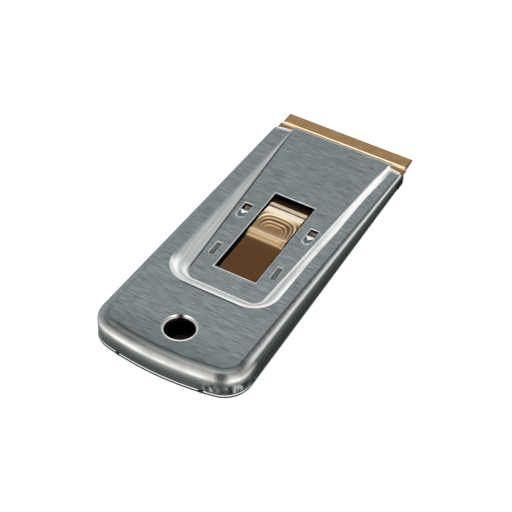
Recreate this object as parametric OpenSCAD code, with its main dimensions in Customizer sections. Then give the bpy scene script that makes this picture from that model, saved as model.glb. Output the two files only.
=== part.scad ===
// Pocket scraper for single-edge razor blades: a stamped two-piece case with a
// sliding blade carriage that the thumb works through a window.
// +Y points out of the mouth, +Z up, and the case lies on its bottom plate.

/* [Blade] */
// Width of the razor blade
blade_w = 38.1; // [30:0.1:60]
// Depth of the blade from the fold of its spine to its cutting edge
blade_d = 19; // [16:0.5:26]
// Thickness of the blade's steel
blade_t = 0.25; // [0.15:0.01:0.5]
// Width of the ground bevel along the cutting edge
bevel_d = 0.9; // [0.5:0.1:2]
// Thickness left at the cutting edge
edge_t = 0.02; // [0.01:0.01:0.1]
// Depth of the notch in each end of the blade
notch_w = 1.4; // [0.5:0.1:2.5]
// Length of that notch
notch_l = 3.2; // [1:0.1:5]
// Depth of the folded spine
spine_d = 4.5; // [3:0.1:5]
// Thickness of the spine's sheet on each side of the blade
spine_sheet = 0.4; // [0.2:0.05:0.6]
// Width of the crimped slope at the back of the spine
crimp_d = 0.5; // [0.2:0.1:1]
// How far the spine stands out of the case
blade_out = 5.9; // [5.4:0.1:12]

/* [Case] */
// Length of the case
case_l = 94.4; // [90:0.2:130]
// How much wider each side is at the rear than at the mouth
case_flare = 1.2; // [0:0.1:3]
// Height of the case at the mouth
front_h = 2.8; // [2.6:0.05:5]
// Height of the case at the rear
rear_h = 7.55; // [6.5:0.05:12]
// Thickness of the cover's sheet
cover_sheet = 0.4; // [0.3:0.05:0.6]
// Thickness of the bottom plate's sheet
plate_sheet = 0.45; // [0.3:0.05:0.8]
// How far the bottom plate's rim stands out past the cover
rim_proud = 0.1; // [0:0.05:0.5]
// Radius of the case's rear corners, seen from above
corner_r = 7.2; // [4:0.1:12]
// Radius of the bowed rear edge, seen from above
rear_bow_r = 77; // [40:1:300]
// Radius of the bowed mouth, seen from above
mouth_bow_r = 110; // [60:1:400]
// Rounding of the cover's top edge at the mouth
edge_r_front = 0.8; // [0.6:0.1:1]
// Rounding of the cover's top edge at the rear
edge_r_rear = 2.5; // [1.2:0.1:3]

/* [Recess] */
// Width of the sunk panel at the mouth
panel_front_w = 29.2; // [26:0.2:32]
// Width of the sunk panel at its closed end
panel_end_w = 21.6; // [20:0.2:26]
// Length of the sunk panel from the mouth to its closed end
panel_l = 64.1; // [60:0.1:66]
// Radius of the sunk panel's corners
panel_corner_r = 3; // [1:0.5:5]
// How far the panel lies under the cover at the mouth
panel_drop = 0.05; // [0.02:0.01:0.2]

/* [Window] */
// Width of the thumb window
window_w = 12.1; // [11.8:0.1:14]
// Length of the thumb window
window_l = 31.7; // [31:0.1:34]
// Distance from the mouth to the window
window_from_mouth = 25.9; // [24:0.1:26.5]

/* [Detents] */
// Half of the distance between the two lanced catches
catch_x = 9.85; // [9.6:0.05:10.2]
// Width of a lanced catch
catch_w = 2.3; // [1.5:0.1:2.6]
// Length of the square hole at the front of a catch
catch_hole_l = 2.5; // [1.5:0.1:3]
// Length of the pressed pocket behind it
catch_pocket_l = 3.4; // [2.5:0.1:4]
// Depth of the pressed pocket
catch_depth = 0.2; // [0.1:0.05:0.3]
// Distance from the mouth to the catch's square hole
catch_from_mouth = 33.2; // [32:0.1:34]
// Half of the distance between the two rear slots
slot_x = 9; // [8.5:0.1:10]
// Width of a rear slot
slot_w = 1; // [0.6:0.1:1.6]
// Length of a rear slot
slot_l = 4.8; // [3:0.1:6]
// Travel of the carriage from its front catch to its rear catch
travel = 15.3; // [10:0.1:15.5]

/* [Hang hole] */
// Diameter of the hang hole
hang_d = 7.5; // [5:0.1:8]
// Distance from the rear of the case to the hole's centre
hang_from_rear = 10.8; // [9:0.1:11]
// Outer radius of the turned edge around the hole
hang_lip_r = 0.8; // [0.6:0.05:1]
// Length of the straight collar under the turned edge
hang_collar_l = 0.5; // [0.2:0.1:1]

/* [Bottom plate] */
// Width of the raised bed at the mouth
bed_front_w = 27; // [24:0.5:30]
// Width of the raised bed at its closed end
bed_end_w = 24; // [20:0.5:28]
// Length of the raised bed
bed_l = 66; // [63:0.5:68]
// Radius of the bed's corners
bed_corner_r = 3; // [1:0.5:5]
// Length of the crimped tabs beside the mouth
tab_l = 3; // [2:0.5:8]
// Height of the crimped tabs
tab_h = 1.3; // [0.8:0.1:1.8]
// Thickness of the crimped tabs, which the crimping thins
tab_t = 0.25; // [0.1:0.05:0.5]
// Distance from the mouth to the crimped tabs
tab_from_mouth = 2.2; // [1.8:0.1:6]
// Radius of a weld spot
weld_r = 0.4; // [0.2:0.05:0.42]
// Length of a weld spot along the seam
weld_l = 1.6; // [1:0.1:2.5]

/* [Carriage] */
// Thickness of the carriage's sheet
carriage_sheet = 0.3; // [0.2:0.05:0.4]
// Length of the carriage
carriage_l = 64.2; // [63:0.1:65]
// Depth of the lips folded over the blade's ends
lip_w = 4; // [2:0.5:6]
// Gap between the blade and the folded channel, on each side
blade_fit = 0.03; // [0.02:0.01:0.1]
// Gap between the carriage and the case, on each side
side_gap = 0.12; // [0.1:0.01:0.3]
// Gap between the carriage and the raised bed
bed_gap = 0.2; // [0.1:0.01:0.3]
// Gap between the spine and the front of the carriage
spine_gap = 0.2; // [0.1:0.05:0.5]
// Least gap between the spine and the panel over it
head_gap = 0.2; // [0.15:0.05:0.4]
// Radius of the carriage's rear corners
carriage_corner_r = 3; // [1:0.5:6]

/* [Thumb spring] */
// Width of the leaf and of its thumb rest
leaf_w = 10.9; // [9:0.1:11.2]
// Thickness of the leaf
leaf_t = 0.3; // [0.2:0.05:0.35]
// Distance from the mouth to the front of the thumb rest
thumb_from_mouth = 28.7; // [28:0.1:29.2]
// Distance from the carriage's rear edge to the leaf's riveted end
leaf_from_carriage_rear = 1; // [0.4:0.1:1.4]
// Height of the thumb rest above the leaf
thumb_h = 0.75; // [0.6:0.05:1.1]
// Length of the ridge at the front of the thumb rest
ridge_l = 1.7; // [1:0.1:2.5]
// Width of the groove behind the ridge
groove_w = 0.4; // [0.2:0.1:0.8]
// Length of the thumb rest's level top
rest_l = 12.1; // [11:0.1:12.4]
// Length of the slope behind the thumb rest
slope_l = 2.2; // [1.5:0.1:2.8]
// Radius of the widest step of the finger cup
cup_r = 4.8; // [3:0.1:5]
// Width of each step of the finger cup
cup_step_w = 0.9; // [0.5:0.1:1.1]
// Depth of each step of the finger cup
cup_step_h = 0.13; // [0.08:0.01:0.18]
// Number of steps in the finger cup
cup_steps = 4; // [1:4]
// Travel of the thumb rest when it is pressed
press = 0.7; // [0.3:0.05:0.7]
// Radius of a rivet's shank
rivet_r = 1; // [0.6:0.1:1.3]
// Radius of a rivet's head
rivet_head_r = 1.5; // [1.2:0.1:1.8]
// Height of a rivet's head
rivet_head_h = 0.3; // [0.2:0.05:0.35]
// Gap that lets the leaf rock on its rivets
rivet_gap = 0.1; // [0.08:0.01:0.15]
// Half of the distance between the rivets
rivet_x = 3.2; // [2:0.1:3.6]

/* [Hidden] */

// One overrun for all cuts
over = 1;
// Points along the bowed edges, and steps round a corner and round the top edge
bow_n = 16;
corner_n = 8;
round_n = 5;
$fn = 64;

// Lengthways places, worked out from the mouth backwards
total_l = case_l + blade_out;
mouth_y = total_l / 2 - blade_out;
plate_rear_y = -total_l / 2;
cover_rear_y = plate_rear_y + rim_proud;
hang_y = plate_rear_y + hang_from_rear;
window_y = mouth_y - window_from_mouth;
catch_y = mouth_y - catch_from_mouth;
slot_y = catch_y - travel - catch_hole_l / 2;
blade_front_y = mouth_y + blade_out;
carriage_y = blade_front_y - spine_d - spine_gap;
lip_l = blade_d - spine_d;
thumb_y = mouth_y - thumb_from_mouth;
leaf_end_y = carriage_y - carriage_l + leaf_from_carriage_rear;

// Heights, stacked from the panel's underside downwards
panel_z = front_h - panel_drop;
panel_under_z = panel_z - cover_sheet;
spine_t = blade_t + 2 * spine_sheet;
spine_top_z = panel_under_z - head_gap;
blade_z = spine_top_z - spine_sheet - blade_t;
carriage_z = blade_z - blade_fit - carriage_sheet;
leaf_z = carriage_z + carriage_sheet;
leaf_top_z = leaf_z + leaf_t;
bed_z = carriage_z - bed_gap;
// Under the thumb rest: its travel when it is pressed, and the gap left below it
press_gap = 0.1;
pad_z = bed_z + press_gap + press;

// Half widths
channel_half = blade_w / 2 + blade_fit;
carriage_half = channel_half + carriage_sheet;
front_half = carriage_half + side_gap + cover_sheet;

// Slopes as shares of a height
recess_side_share = 1.15;
recess_end_share = 1.6;
bed_run_share = 1;

// Opening in the carriage under the leaf, and the cross cut for the leaf's ears
leaf_side_gap = 0.45;
well_half = leaf_w / 2 + leaf_side_gap;
well_front_gap = 0.9;
well_y = thumb_y + well_front_gap;
ear_l = 2;
ear_gap = 0.6;
ear_y = catch_y - (catch_hole_l - ear_l) / 2;
ear_half = catch_x + catch_w / 2 - ear_gap / 2;
rivet_y = leaf_end_y + rivet_head_r + rivet_gap;
// The leaf rocks on the rear edge of that opening
rivet_wall = 0.3;
hinge_y = rivet_y + rivet_r + rivet_wall;

// Places of the weld spots along the sides, from the rear, and along the rear edge
weld_side_shares = [0.1, 0.46, 0.85];
weld_rear_x = 11.6;
weld_depth = cover_sheet;
weld_proud = 0.08;

function side_x(y) = front_half + case_flare * (mouth_y - y) / case_l;
function top_z(y) = front_h + (rear_h - front_h) * (mouth_y - y) / case_l;
function edge_r(y) = edge_r_front + (edge_r_rear - edge_r_front) * (mouth_y - y) / case_l;
function mouth_line(x) = mouth_y - mouth_bow_r + sqrt(pow(mouth_bow_r, 2) - pow(x, 2));

// The rear corner's centre, and the angle at which it meets the bowed rear edge
bow_c = [0, cover_rear_y + rear_bow_r];
corner_cx = side_x(cover_rear_y + corner_r) - corner_r;
corner_cy = bow_c[1] - sqrt(pow(rear_bow_r - corner_r, 2) - pow(corner_cx, 2));
corner_c = [corner_cx, corner_cy];
corner_a = atan2(corner_c[1] - bow_c[1], corner_c[0]);

function on_arc(c, r, a) = [c[0] + r * cos(a), c[1] + r * sin(a)];
function flip(points) = [for (i = [len(points) - 1 : -1 : 0]) [-points[i][0], points[i][1]]];

// How far a point of the top edge's rounding lies in from the wall, and its height
function pull(y, thin, a) = (edge_r(y) - thin) * (1 - cos(a));
function lift(y, thin, a) = top_z(y) - thin - (edge_r(y) - thin) * (1 - sin(a));

// The case's outline moved outwards by grow, and pulled in by the rounding at angle a
function mouth_points(grow, thin, a, ahead) =
    let (half = front_half + grow - pull(mouth_y, thin, a))
    [for (i = [0 : bow_n]) let (x = half * (1 - 2 * i / bow_n)) [x, mouth_line(x) + ahead]];
function corner_points(grow, thin, a) =
    [for (i = [0 : corner_n]) let (t = corner_a * (1 - i / corner_n))
        on_arc(corner_c, corner_r + grow - pull(corner_c[1], thin, a), t)];
function rear_points(grow, thin, a) =
    [for (i = [1 : bow_n - 1]) let (t = -180 - corner_a + (180 + 2 * corner_a) * i / bow_n)
        on_arc(bow_c, rear_bow_r + grow - pull(cover_rear_y, thin, a), t)];
function case_outline(grow = 0, thin = 0, a = 0, ahead = 0) =
    concat(mouth_points(grow, thin, a, ahead),
           flip(corner_points(grow, thin, a)),
           rear_points(grow, thin, a),
           corner_points(grow, thin, a));

// A closed skin over rings that have the same number of points
module skin(rings) {
    n = len(rings[0]);
    m = len(rings);
    sides = [for (k = [0 : m - 2], i = [0 : n - 1]) let (j = (i + 1) % n)
        each [[k * n + i, (k + 1) * n + i, (k + 1) * n + j], [k * n + i, (k + 1) * n + j, k * n + j]]];
    low = [for (i = [0 : n - 1]) i];
    high = [for (i = [n - 1 : -1 : 0]) (m - 1) * n + i];
    polyhedron([for (r = rings) each r], concat([low], sides, [high]), convexity = 6);
}

function level(points, z) = [for (p = points) [p[0], p[1], z]];

// The cover's outer form, or with thin its hollow
module case_form(thin, low_z, ahead) {
    skin(concat([level(case_outline(-thin, thin, 0, ahead), low_z)],
        [for (k = [0 : round_n]) let (a = 90 * k / round_n)
            [for (p = case_outline(-thin, thin, a, ahead)) [p[0], p[1], lift(p[1] - ahead, thin, a)]]]));
}

// A long outline that is open towards the mouth and has round corners at its closed end
function tongue_outline(mouth_half, end_half, l, r, ahead) =
    let (slant = (mouth_half - end_half) / l,
         ex = end_half + slant * r - r,
         ey = mouth_y - l + r,
         right = [for (i = [0 : corner_n]) on_arc([ex, ey], r, -90 + 90 * i / corner_n)])
    concat([[mouth_half + slant * ahead, mouth_y + ahead],
            [-mouth_half - slant * ahead, mouth_y + ahead]],
           flip(right), right);

// The sunk panel's cutter; with thin it cuts the far side of the sheet
module recess_form(thin) {
    high_z = rear_h + over;
    function reach(share, z) = thin * sqrt(1 + pow(share, 2)) + share * (z - panel_z);
    function ring(z) =
        let (side = reach(recess_side_share, z), end = reach(recess_end_share, z))
        level(tongue_outline(panel_front_w / 2 + side, panel_end_w / 2 + side, panel_l + end,
                             panel_corner_r + side, over), z);
    skin([ring(panel_z - thin), ring(high_z)]);
}

// The raised bed; with thin it is the hollow under it
module bed_form(thin, low_z) {
    wall = thin * sqrt(1 + pow(bed_run_share, 2));
    function ring(z) =
        let (grow = bed_run_share * (bed_z - z) - wall)
        level(tongue_outline(bed_front_w / 2 + grow, bed_end_w / 2 + grow, bed_l + grow,
                             bed_corner_r + grow, over), z);
    skin([ring(low_z), ring(bed_z - thin)]);
}

module both_sides() {
    children();
    mirror([1, 0, 0]) children();
}

// A column over the whole inside of the case's outline, for trimming
module case_column(grow) {
    translate([0, 0, -over]) linear_extrude(rear_h + 2 * over) polygon(case_outline(grow));
}

// A stadium-shaped bar along Y that starts at y and runs backwards
module slot_bar(x, y, w, l, low_z, h) {
    translate([x - w / 2, y - l + w / 2, low_z]) cube([w, l - w / 2, h]);
    translate([x, y - l + w / 2, low_z]) cylinder(d = w, h = h);
}

// Turned edge of the hang hole: the sheet bends through a quarter circle into a collar
module hang_collar(sheet) {
    r = hang_d / 2;
    bend = r + hang_lip_r;
    translate([0, hang_y, 0]) rotate_extrude() {
        difference() {
            translate([r, 0]) square([hang_lip_r + sheet, hang_lip_r]);
            translate([r, 0]) difference() {
                square(hang_lip_r);
                translate([hang_lip_r, 0]) circle(hang_lip_r);
            }
            translate([bend, 0]) circle(hang_lip_r - sheet);
            translate([bend, -over]) square([sheet + over, hang_lip_r - sheet + over]);
        }
        translate([r, -hang_collar_l]) square([sheet, hang_collar_l + sheet / 2]);
    }
}

// Weld spots along the seam between the cover and the bottom plate
module weld_bar(stand_out) {
    d = weld_depth + stand_out;
    rotate([90, 0, 0]) translate([0, 0, -stand_out]) {
        for (s = [-1, 1]) translate([s * (weld_l / 2 - weld_r), 0, 0]) cylinder(r = weld_r, h = d);
        translate([weld_r - weld_l / 2, -weld_r, 0]) cube([weld_l - 2 * weld_r, 2 * weld_r, d]);
    }
}

module weld_bars(stand_out) {
    both_sides() {
        for (share = weld_side_shares) {
            y = plate_rear_y + share * total_l;
            translate([side_x(y), y, plate_sheet]) rotate([0, 0, -90]) weld_bar(stand_out);
        }
        translate([weld_rear_x, bow_c[1] - sqrt(pow(rear_bow_r, 2) - pow(weld_rear_x, 2)), plate_sheet])
            rotate([0, 0, 180]) weld_bar(stand_out);
    }
}

module catch_cuts() {
    translate([catch_x - catch_w / 2, catch_y - catch_hole_l, panel_under_z - over])
        cube([catch_w, catch_hole_l, cover_sheet + 2 * over]);
    slot_bar(catch_x, catch_y - catch_hole_l, catch_w, catch_pocket_l, panel_z - catch_depth, over);
    slot_bar(slot_x, slot_y, slot_w, slot_l, panel_under_z - over, cover_sheet + 2 * over);
}

module catch_floor() {
    slot_bar(catch_x, catch_y - catch_hole_l, catch_w + 2 * cover_sheet, catch_pocket_l + cover_sheet,
             panel_under_z - catch_depth, catch_depth + cover_sheet / 2);
}

module cover_shell() {
    difference() {
        case_form(0, plate_sheet, 0);
        recess_form(0);
        difference() {
            case_form(cover_sheet, plate_sheet - over, over);
            recess_form(cover_sheet);
        }
    }
}

module top_cover() {
    hang_z = top_z(hang_y) - hang_lip_r;
    color("#8b9498") {
        difference() {
            union() {
                cover_shell();
                both_sides() catch_floor();
            }
            translate([-window_w / 2, window_y - window_l, panel_under_z - over])
                cube([window_w, window_l, cover_sheet + 2 * over]);
            both_sides() catch_cuts();
            translate([0, hang_y, hang_z]) cylinder(r = hang_d / 2 + hang_lip_r, h = rear_h);
            weld_bars(over);
        }
        intersection() {
            translate([0, 0, hang_z]) hang_collar(cover_sheet);
            case_form(0, plate_sheet, 0);
        }
    }
}

module crimp_tabs() {
    linear_extrude(tab_h) intersection() {
        difference() {
            polygon(case_outline(tab_t));
            polygon(case_outline(0));
        }
        translate([-2 * front_half, mouth_y - tab_from_mouth - tab_l]) square([4 * front_half, tab_l]);
    }
}

module bottom_plate() {
    color("#7d868a") {
        difference() {
            union() {
                linear_extrude(plate_sheet) polygon(case_outline(rim_proud));
                intersection() {
                    bed_form(0, plate_sheet / 2);
                    case_column(0);
                }
                crimp_tabs();
            }
            bed_form(plate_sheet, -over);
            translate([0, hang_y, -over]) cylinder(r = hang_d / 2 + hang_lip_r, h = plate_sheet + 2 * over);
            weld_bars(over);
        }
        translate([0, 0, hang_lip_r]) mirror([0, 0, 1]) hang_collar(plate_sheet);
    }
}

module weld_spots() {
    color("#5a4030") weld_bars(weld_proud);
}

module blade_carriage() {
    well_cross_l = ear_l + 2 * ear_gap;
    channel_h = blade_t + 2 * blade_fit;
    lip_z = carriage_z + carriage_sheet + channel_h;
    color("#b08d57") difference() {
        union() {
            translate([-carriage_half, carriage_y - carriage_l + carriage_corner_r, carriage_z])
                cube([2 * carriage_half, carriage_l - carriage_corner_r, carriage_sheet]);
            translate([-carriage_half + carriage_corner_r, carriage_y - carriage_l, carriage_z])
                cube([2 * (carriage_half - carriage_corner_r), carriage_l, carriage_sheet]);
            both_sides() {
                translate([carriage_half - carriage_corner_r,
                           carriage_y - carriage_l + carriage_corner_r, carriage_z])
                    cylinder(r = carriage_corner_r, h = carriage_sheet);
                translate([channel_half, carriage_y - lip_l, carriage_z])
                    cube([carriage_sheet, lip_l, channel_h + 2 * carriage_sheet]);
                translate([carriage_half - lip_w, carriage_y - lip_l, lip_z])
                    cube([lip_w, lip_l, carriage_sheet]);
            }
        }
        translate([-well_half, hinge_y, carriage_z - over])
            cube([2 * well_half, well_y - hinge_y, carriage_sheet + 2 * over]);
        translate([-ear_half - ear_gap, ear_y + ear_gap - well_cross_l, carriage_z - over])
            cube([2 * (ear_half + ear_gap), well_cross_l, carriage_sheet + 2 * over]);
        both_sides() translate([rivet_x, rivet_y, carriage_z - over])
            cylinder(r = rivet_r, h = carriage_sheet + 2 * over);
    }
}

module thumb_spring() {
    top = pad_z + thumb_h;
    groove_h = thumb_h / 3;
    color("#c9a46a") difference() {
        union() {
            rotate([90, 0, 90]) translate([0, 0, -leaf_w / 2]) linear_extrude(leaf_w)
                polygon([[thumb_y, pad_z], [thumb_y, top - groove_h / 2], [thumb_y - ridge_l, top],
                         [thumb_y - ridge_l, top - groove_h],
                         [thumb_y - ridge_l - groove_w, top - groove_h],
                         [thumb_y - ridge_l - groove_w, top],
                         [thumb_y - rest_l, top], [thumb_y - rest_l - slope_l, leaf_top_z],
                         [leaf_end_y, leaf_top_z], [leaf_end_y, leaf_z],
                         [thumb_y - rest_l, leaf_z], [thumb_y - rest_l + slope_l, pad_z]]);
            translate([-ear_half, ear_y - ear_l, pad_z]) cube([2 * ear_half, ear_l, leaf_t]);
        }
        for (k = [0 : cup_steps - 1]) {
            r = cup_r - k * cup_step_w;
            translate([0, thumb_y - rest_l + slope_l / 2 + cup_r / 2, top - (k + 1) * cup_step_h]) {
                cylinder(r = r, h = over);
                translate([-r, -cup_r / 2, 0]) cube([2 * r, cup_r / 2, over]);
            }
        }
        both_sides() translate([rivet_x, rivet_y, leaf_z - over])
            cylinder(r = rivet_r + rivet_gap, h = leaf_t + 2 * over);
    }
}

module spring_rivets() {
    color("#b59a6b") both_sides() translate([rivet_x, rivet_y, 0]) {
        translate([0, 0, carriage_z])
            cylinder(r = rivet_r, h = carriage_sheet + leaf_t + rivet_gap + rivet_head_h);
        translate([0, 0, leaf_top_z + rivet_gap]) cylinder(r = rivet_head_r, h = rivet_head_h);
    }
}

module razor_blade() {
    back_y = blade_front_y - spine_sheet;
    edge_y = blade_front_y - blade_d;
    mid_z = blade_z + blade_t / 2;
    color("#b9bec2") difference() {
        rotate([90, 0, 90]) translate([0, 0, -blade_w / 2]) linear_extrude(blade_w)
            polygon([[back_y, blade_z], [back_y, blade_z + blade_t],
                     [edge_y + bevel_d, blade_z + blade_t], [edge_y, mid_z + edge_t / 2],
                     [edge_y, mid_z - edge_t / 2], [edge_y + bevel_d, blade_z]]);
        both_sides() translate([blade_w / 2 - notch_w, blade_front_y - spine_d - crimp_d - notch_l,
                                blade_z - over])
            cube([notch_w + over, notch_l, blade_t + 2 * over]);
    }
}

module blade_spine() {
    low_z = blade_z - spine_sheet;
    back_y = blade_front_y - spine_d;
    color("#a07c50") rotate([90, 0, 90]) translate([0, 0, -blade_w / 2]) linear_extrude(blade_w)
        difference() {
            union() {
                translate([blade_front_y - spine_t / 2, low_z + spine_t / 2]) circle(d = spine_t);
                polygon([[blade_front_y - spine_t / 2, low_z], [blade_front_y - spine_t / 2, low_z + spine_t],
                         [back_y + crimp_d, low_z + spine_t], [back_y, blade_z + blade_t + spine_sheet / 4],
                         [back_y, blade_z - spine_sheet / 4], [back_y + crimp_d, low_z]]);
            }
            translate([back_y - over, blade_z]) square([spine_d + over - spine_sheet, blade_t]);
        }
}

top_cover();
bottom_plate();
weld_spots();
blade_carriage();
thumb_spring();
spring_rivets();
razor_blade();
blade_spine();
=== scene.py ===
"""Looks of a pocket scraper: stamped steel case, brass-plated carriage, blade with a folded brass spine."""

import math

import bmesh
import bpy
from mathutils import Matrix, Vector


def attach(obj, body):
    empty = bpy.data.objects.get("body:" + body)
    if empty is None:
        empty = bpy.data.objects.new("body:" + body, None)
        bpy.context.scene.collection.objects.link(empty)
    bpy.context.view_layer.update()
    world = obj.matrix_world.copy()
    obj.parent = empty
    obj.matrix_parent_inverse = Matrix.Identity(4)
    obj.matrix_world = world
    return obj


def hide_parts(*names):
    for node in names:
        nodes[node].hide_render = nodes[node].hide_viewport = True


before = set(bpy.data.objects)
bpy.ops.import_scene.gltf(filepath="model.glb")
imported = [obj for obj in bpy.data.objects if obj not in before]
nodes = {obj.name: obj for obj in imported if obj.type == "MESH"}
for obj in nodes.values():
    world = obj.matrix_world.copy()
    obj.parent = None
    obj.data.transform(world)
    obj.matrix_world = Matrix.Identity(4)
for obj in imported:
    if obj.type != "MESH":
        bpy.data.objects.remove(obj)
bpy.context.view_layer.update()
scene = bpy.context.scene
MM = 0.001

# Camera at the photograph's viewing angle, in its 512 x 512 frame
PHOTO_W = 512
SENSOR_MM = 36
CAM_AZIMUTH = 28.908
CAM_ELEVATION = 44.76
CAM_ROLL = 1.529
CAM_FOCAL_PX = 1560.9
CAM_DISTANCE = 401.97 * MM
CAM_FOCUS = Vector((0.073 * MM, -2.642 * MM, 0))
CAM_NEAR = 10 * MM
CAM_FAR = 20

# The case, with the origin under its middle. The sizes are those of its CAD node, apart from its
# front edge, the walls of the sunk panel and the grooves, which follow the photograph
MOUTH_Y = 44.25 * MM
COVER_REAR_Y = -50.05 * MM
CASE_L = 94.4 * MM
FRONT_HALF = 19.9 * MM
CASE_FLARE = 1.2 * MM
FRONT_H = 2.8 * MM
REAR_H = 7.55 * MM
EDGE_R_FRONT = 0.8 * MM
EDGE_R_REAR = 2.5 * MM
CORNER_R = 7.2 * MM
REAR_BOW_R = 77 * MM
MOUTH_SETBACK = 1.3 * MM
MOUTH_BOW_POWER = 4
SHEET = 0.4 * MM
PLATE_SHEET = 0.45 * MM
PANEL_Z = 2.75 * MM
PANEL_FRONT_HALF = 14.6 * MM
PANEL_END_HALF = 10.8 * MM
PANEL_L = 64.6 * MM
PANEL_CORNER_R = 3 * MM
WALL_SLOPE = 1.15
WINDOW_HALF = 6.05 * MM
WINDOW_FRONT_Y = 18.35 * MM
WINDOW_REAR_Y = -13.35 * MM
CATCH_X = 9.85 * MM
CATCH_W = 2.3 * MM
CATCH_FRONT_Y = 11.05 * MM
CATCH_HOLE_L = 2.5 * MM
CATCH_POCKET_L = 3.4 * MM
POCKET_FRONT_Y = CATCH_FRONT_Y - CATCH_HOLE_L
SLOT_X = 9 * MM
GROOVE_W = 1.5 * MM
SLOT_FRONT_Y = -5.5 * MM
SLOT_L = 4.8 * MM
HANG_Y = -39.35 * MM
HANG_R = 3.75 * MM
HANG_LIP_R = 0.8 * MM

# Edges that turn by more than this are sharp
SHARP = math.radians(60)
# Faces of the plate that turn by less than this are one flat face
FLAT = math.radians(1)
# The Z part of a normal: the most for a side that stands upright, the least for a floor
UPRIGHT = 0.1
FACING_UP = 0.7
TINY = 0.002 * MM


def lerp(a, b, t):
    return a + (b - a) * t


def smooth(t):
    """Rises from 0 to 1 with a soft start and end."""
    t = min(1, max(0, t))
    return t * t * (3 - 2 * t)


def direction(a):
    return Vector((math.cos(a), math.sin(a)))


def place_share(y):
    """0 at the mouth and 1 at the rear."""
    return (MOUTH_Y - y) / CASE_L


def side_x(y):
    """Half the width of the case."""
    return FRONT_HALF + CASE_FLARE * place_share(y)


def top_z(y):
    """Height of the cover's top."""
    return lerp(FRONT_H, REAR_H, place_share(y))


def edge_r(y):
    """Radius of the rolled edge."""
    return lerp(EDGE_R_FRONT, EDGE_R_REAR, place_share(y))


def mouth_line(x):
    """The case's front edge, which is nearly straight in the middle and set back at its ends."""
    return MOUTH_Y - MOUTH_SETBACK * (x / FRONT_HALF) ** MOUTH_BOW_POWER


def set_material(obj, *mats):
    """Gives an object its materials, in the order of its slots."""
    obj.data.materials.clear()
    for mat in mats:
        obj.data.materials.append(mat)


def make_camera():
    """The photograph's camera, aimed near the middle of the case."""
    az, el, roll = (math.radians(a) for a in (CAM_AZIMUTH, CAM_ELEVATION, CAM_ROLL))
    look = Vector((-math.sin(az) * math.cos(el), math.cos(az) * math.cos(el), -math.sin(el)))
    right = Vector((math.cos(az), math.sin(az), 0))
    up = right.cross(look)
    x = right * math.cos(roll) + up * math.sin(roll)
    y = up * math.cos(roll) - right * math.sin(roll)
    data = bpy.data.cameras.new("photo_camera")
    data.sensor_width = SENSOR_MM
    data.lens = CAM_FOCAL_PX * SENSOR_MM / PHOTO_W
    data.clip_start = CAM_NEAR
    data.clip_end = CAM_FAR
    camera = bpy.data.objects.new("photo_camera", data)
    scene.collection.objects.link(camera)
    turn = Matrix((x, y, -look)).transposed()
    camera.matrix_world = Matrix.Translation(CAM_FOCUS - look * CAM_DISTANCE) @ turn.to_4x4()
    scene.camera = camera


# Steps of the pressed cover's grid: stations run round the case from one side of the
# mouth to the other, and rings run from the sunk panel out and down to the seam
SIDE_STEPS = 52
TAIL_STEPS = 24
CORNER_STEPS = 36
REAR_STEPS = 16
STATIONS = 2 * (SIDE_STEPS + TAIL_STEPS + CORNER_STEPS + REAR_STEPS)
FILLET_STEPS = 5
WALL_RINGS = 2 * FILLET_STEPS + 1
TOP_STEPS = 6
ROUND_STEPS = 10

# The wall of the sunk panel: the radius at its foot and at its brow, and the most of the wall that
# each may take up. The +X wall has a least width, which falls over a length from its rear to its front
PANEL_FILLET = 0.3 * MM
TOP_FILLET = 0.7 * MM
FOOT_SHARE = 0.42
BROW_SHARE = 0.5
BROW_PASSES = 4
WALL_MIN_REAR = 2.5 * MM
WALL_MIN_FRONT = 1.5 * MM
WALL_TAPER_Y = 6 * MM
WALL_TAPER_L = 24 * MM
# How much wider than high the rolled edge is
ROUND_SPREAD = 1.25
# Height over the underside and setback, in mm, of the hem's rings: a crease with a trimmed edge below
HEM = ((1.2, 0), (1.04, 0.1), (0.88, 0), (0.45, 0))
RINGS = WALL_RINGS + TOP_STEPS + ROUND_STEPS + len(HEM)
MOUTH_STEPS = 15

# The hang hole's turned edge, which ends in a short straight collar
HOLE_STEPS = 64
LIP_STEPS = 6
COLLAR_L = 0.6 * MM
# The curled fronts of the side strips: their length and drop, and the width in which the drop grows
CURL_L = 1.6 * MM
CURL_DROP = 0.7 * MM
CURL_FADE = 0.8 * MM
# The pockets behind the catch holes and the grooves behind them: the corners at their rear as shares
# of their width, and the share of a pocket's depth that is lost on the way to its rear
POCKET_DEPTH = 0.3 * MM
POCKET_ROUND = 0.45
POCKET_RISE = 0.6
GROOVE_DEPTH = 0.22 * MM
GROOVE_ROUND = 0.4
CUT_EDGE = 0.18 * MM
# Dents of the rear corners: how far down they start, as a share of the height, and how deep and how
# many they are. The sway and the beat make them uneven, and they fade out over a height above the hem
WRINKLE_FROM = 0.42
WRINKLE_DEPTH = 0.45 * MM
WRINKLES = 17
WRINKLE_SWAY = 3.3
WRINKLE_BEAT = 0.37
WRINKLE_FADE_MM = 0.6

# The thumb spring: the height of its flat tail, the steps of its grid and the share of them that lie
# along the tail. The values for its form are in mm, like the places where its rest starts in front,
# where the rest ends and where the tail ends
TAIL_Z = 1.77 * MM
LEAF_SHEET = 0.3 * MM
LEAF_STEPS_X = 70
LEAF_STEPS_Y = 260
TAIL_SHARE = 0.2
LEAF_HALF_MM = 5.44
REST_FRONT_MM = 15.54
REST_REAR_MM = 1
LEAF_END_MM = -17.74
# Its side edges: how far they are turned down, and over what width
LEAF_EDGE_DROP = 0.1
LEAF_EDGE_W = 0.35
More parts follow.
